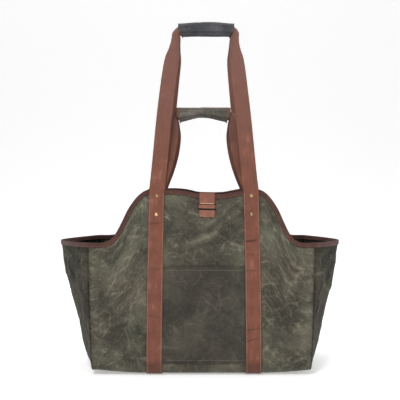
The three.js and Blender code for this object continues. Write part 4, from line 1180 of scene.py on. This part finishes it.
def rivet(side, hand, drop, name):
    """A cap on a long strap, that far below the panel's height."""
    c = np.array([1.5 if hand == LEFT else 5.5])
    z = PANEL_HEIGHT - drop
    r = row_of(c, z)
    point, out = canvas(side, c, r)[0], canvas_out(side, c, r)[0]
    lift = float(strap_lift(side, r, np.array([z]), rim_z(c))[0]) + WEB / 2 + RIVET_GAP
    across = unit(np.cross(out, [0, 0, 1.0]))
    up = np.cross(across, out)
    turns = np.linspace(0, 2 * np.pi, RIVET_ROUND + 1)[:-1]
    ring = np.cos(turns)[:, None] * across + np.sin(turns)[:, None] * up
    rows = [point + out * (lift + h) + ring * RIVET_RADIUS * s for s, h in RIVET_PROFILE[1:-1]]
    tips = [point + out * (lift + RIVET_PROFILE[i][1]) for i in (0, -1)]
    vertices = np.concatenate([*rows, tips])
    faces = ring_faces(len(rows), RIVET_ROUND)
    tip, top_row = len(rows) * RIVET_ROUND, (len(rows) - 1) * RIVET_ROUND
    for j in range(RIVET_ROUND):
        k = (j + 1) % RIVET_ROUND
        faces += [(tip, k, j), (tip + 1, top_row + j, top_row + k)]
    piece = make_object(f"{name}_cap", vertices, faces, brass)
    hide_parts(name)


for side, word in ((FRONT, "front"), (REAR, "rear")):
    for hand, hand_word in ((LEFT, "left"), (RIGHT, "right")):
        for i, drop in enumerate(RIVET_DROPS):
            rivet(side, hand, drop, f"rivet_{word}_{hand_word}_{i + 1}")


# --- Stitching ---
# Tan thread on the straps, the tab and the patch, pale olive on the pocket, brown on the
# binding and the lower grip, dark slate on the upper grip. Each stitch dips at both ends.
THREAD_ROUND = 5
# along, rise and thickness at five places of a stitch
STITCH = [
    (-0.5, -0.5, 0.55), (-0.36, 0.25, 1.0), (0.0, 0.55, 1.05), (0.36, 0.25, 1.0), (0.5, -0.5, 0.55),
]


def sewing_thread(name, low, high):
    m, shader = new_material(name, Roughness=0.7, Sheen_Weight=0.2)
    twist = clouds(m, add_node(m, "TexCoord"), "Object", 600, 2)
    connect(m, shader, "Base Color", ramp(m, twist, "Fac", [(0.3, low), (0.7, high)]))
    return m


tan = sewing_thread("tan_thread", (0.27, 0.155, 0.08), (0.44, 0.28, 0.155))
pale_tan = sewing_thread("pale_tan_thread", (0.5, 0.33, 0.18), (0.72, 0.52, 0.31))
pale_olive = sewing_thread("pale_olive_thread", (0.20, 0.175, 0.115), (0.30, 0.27, 0.18))
dark_slate = sewing_thread("dark_slate_thread", (0.028, 0.028, 0.034), (0.05, 0.05, 0.058))
brown_thread = sewing_thread("brown_thread", (0.13, 0.06, 0.035), (0.26, 0.15, 0.085))


def stitches(name, runs, thread, pitch, length, radius):
    """Stitches along runs of points and normals on a surface."""
    vertices, faces, count = [], [], 0
    angles = np.linspace(0, 2 * np.pi, THREAD_ROUND + 1)[:-1]
    last = (len(STITCH) - 1) * THREAD_ROUND
    one = ring_faces(len(STITCH), THREAD_ROUND)
    one += [tuple(range(THREAD_ROUND))[::-1], tuple(range(last, last + THREAD_ROUND))]
    for points, normals in runs:
        run = run_length(points)
        number = max(1, int(run[-1] / pitch))
        at = (np.arange(number) + 0.5) * run[-1] / number
        here, before, after = (
            np.stack([np.interp(at + step, run, column) for column in points.T], 1)
            for step in (0, -0.6, 0.6)
        )
        out = unit(np.stack([np.interp(at, run, column) for column in normals.T], 1))
        way = unit(after - before)
        across = unit(np.cross(out, way))
        rings = []
        for step, rise, thick in STITCH:
            middle = here + way * step * length + out * rise * radius
            for a in angles:
                rings.append(middle + (across * math.cos(a) + out * math.sin(a)) * radius * thick)
        vertices.append(np.stack(rings, 1).reshape(-1, 3))
        for start in range(count, count + number * len(rings), len(rings)):
            faces += [tuple(start + q for q in f) for f in one]
        count += number * len(rings)
    piece = make_object(name, np.concatenate(vertices), faces, thread)


def outer_face(grid, wall, at, away, loop_j=False):
    """Points and normals of the face of a sheet that looks away at one of its places."""
    out = grid_out(grid, loop_j=loop_j)
    out = out * np.sign(out[at] @ away)
    return grid + out * wall / 2, out


def lines_on(face, *places):
    return [(face[0][place], face[1][place]) for place in places]


ends = (slice(26, 183), slice(-183, -26))
for side, word in ((FRONT, "front"), (REAR, "rear")):
    face = outer_face(webs[side], WEB, (60, 8), (0, side, 0))
    runs = lines_on(face, *((end, j) for j in (1, 15) for end in ends))
    stitches(f"{word}_strap_stitches", runs, tan, pitch=4.0, length=3.1, radius=0.5)

for word, sign in (("outer", 1), ("inner", -1)):
    line = rim_here + rim_out * sign * (offset + BINDING / 2) + rim_down * 0.72 * BINDING_HEIGHT
    closed = [np.concatenate([row, row[:1]]) for row in (line, rim_out * sign)]
    stitches(
        f"binding_stitches_{word}", [closed], brown_thread, pitch=3.8, length=2.7,
        radius=0.32,
    )

face = outer_face(pocket_grid, CANVAS, (40, 20), (0, -1, 0))
between_straps = slice(14, 70)
runs = lines_on(face, (between_straps, 2), (between_straps, 53))
stitches("pocket_stitches", runs, pale_olive, pitch=4.0, length=2.8, radius=0.32)

inner = slice(1, -1)
tab_face, end_face, patch_face = (
    outer_face(grid, WEB, (3, 7), (0, -1, 0)) for grid in (tab_grid, end_grid, patch_grid)
)
runs = lines_on(end_face, (1, inner)) + lines_on(patch_face, (1, inner), (7, inner))
stitches("tab_stitches", runs, tan, pitch=3.2, length=2.7, radius=0.4)
runs = lines_on(tab_face, (1, inner))
stitches("tab_fold_stitches", runs, pale_tan, pitch=3.0, length=3.0, radius=0.75)

ring, inner = np.append(np.arange(GRIP_ROUND), 0), slice(4, 57)
for word, grid, thread in (("long", long_grip, dark_slate), ("short", short_grip, brown_thread)):
    face = outer_face(grid, GRIP_WALL, (30, 0), (0, 1, 0), loop_j=True)
    runs = lines_on(face, (3, ring), (57, ring), (inner, 26), (inner, 46))
    stitches(
        f"{word}_grip_stitches", runs, thread, pitch=3.6, length=2.6, radius=0.38
    )
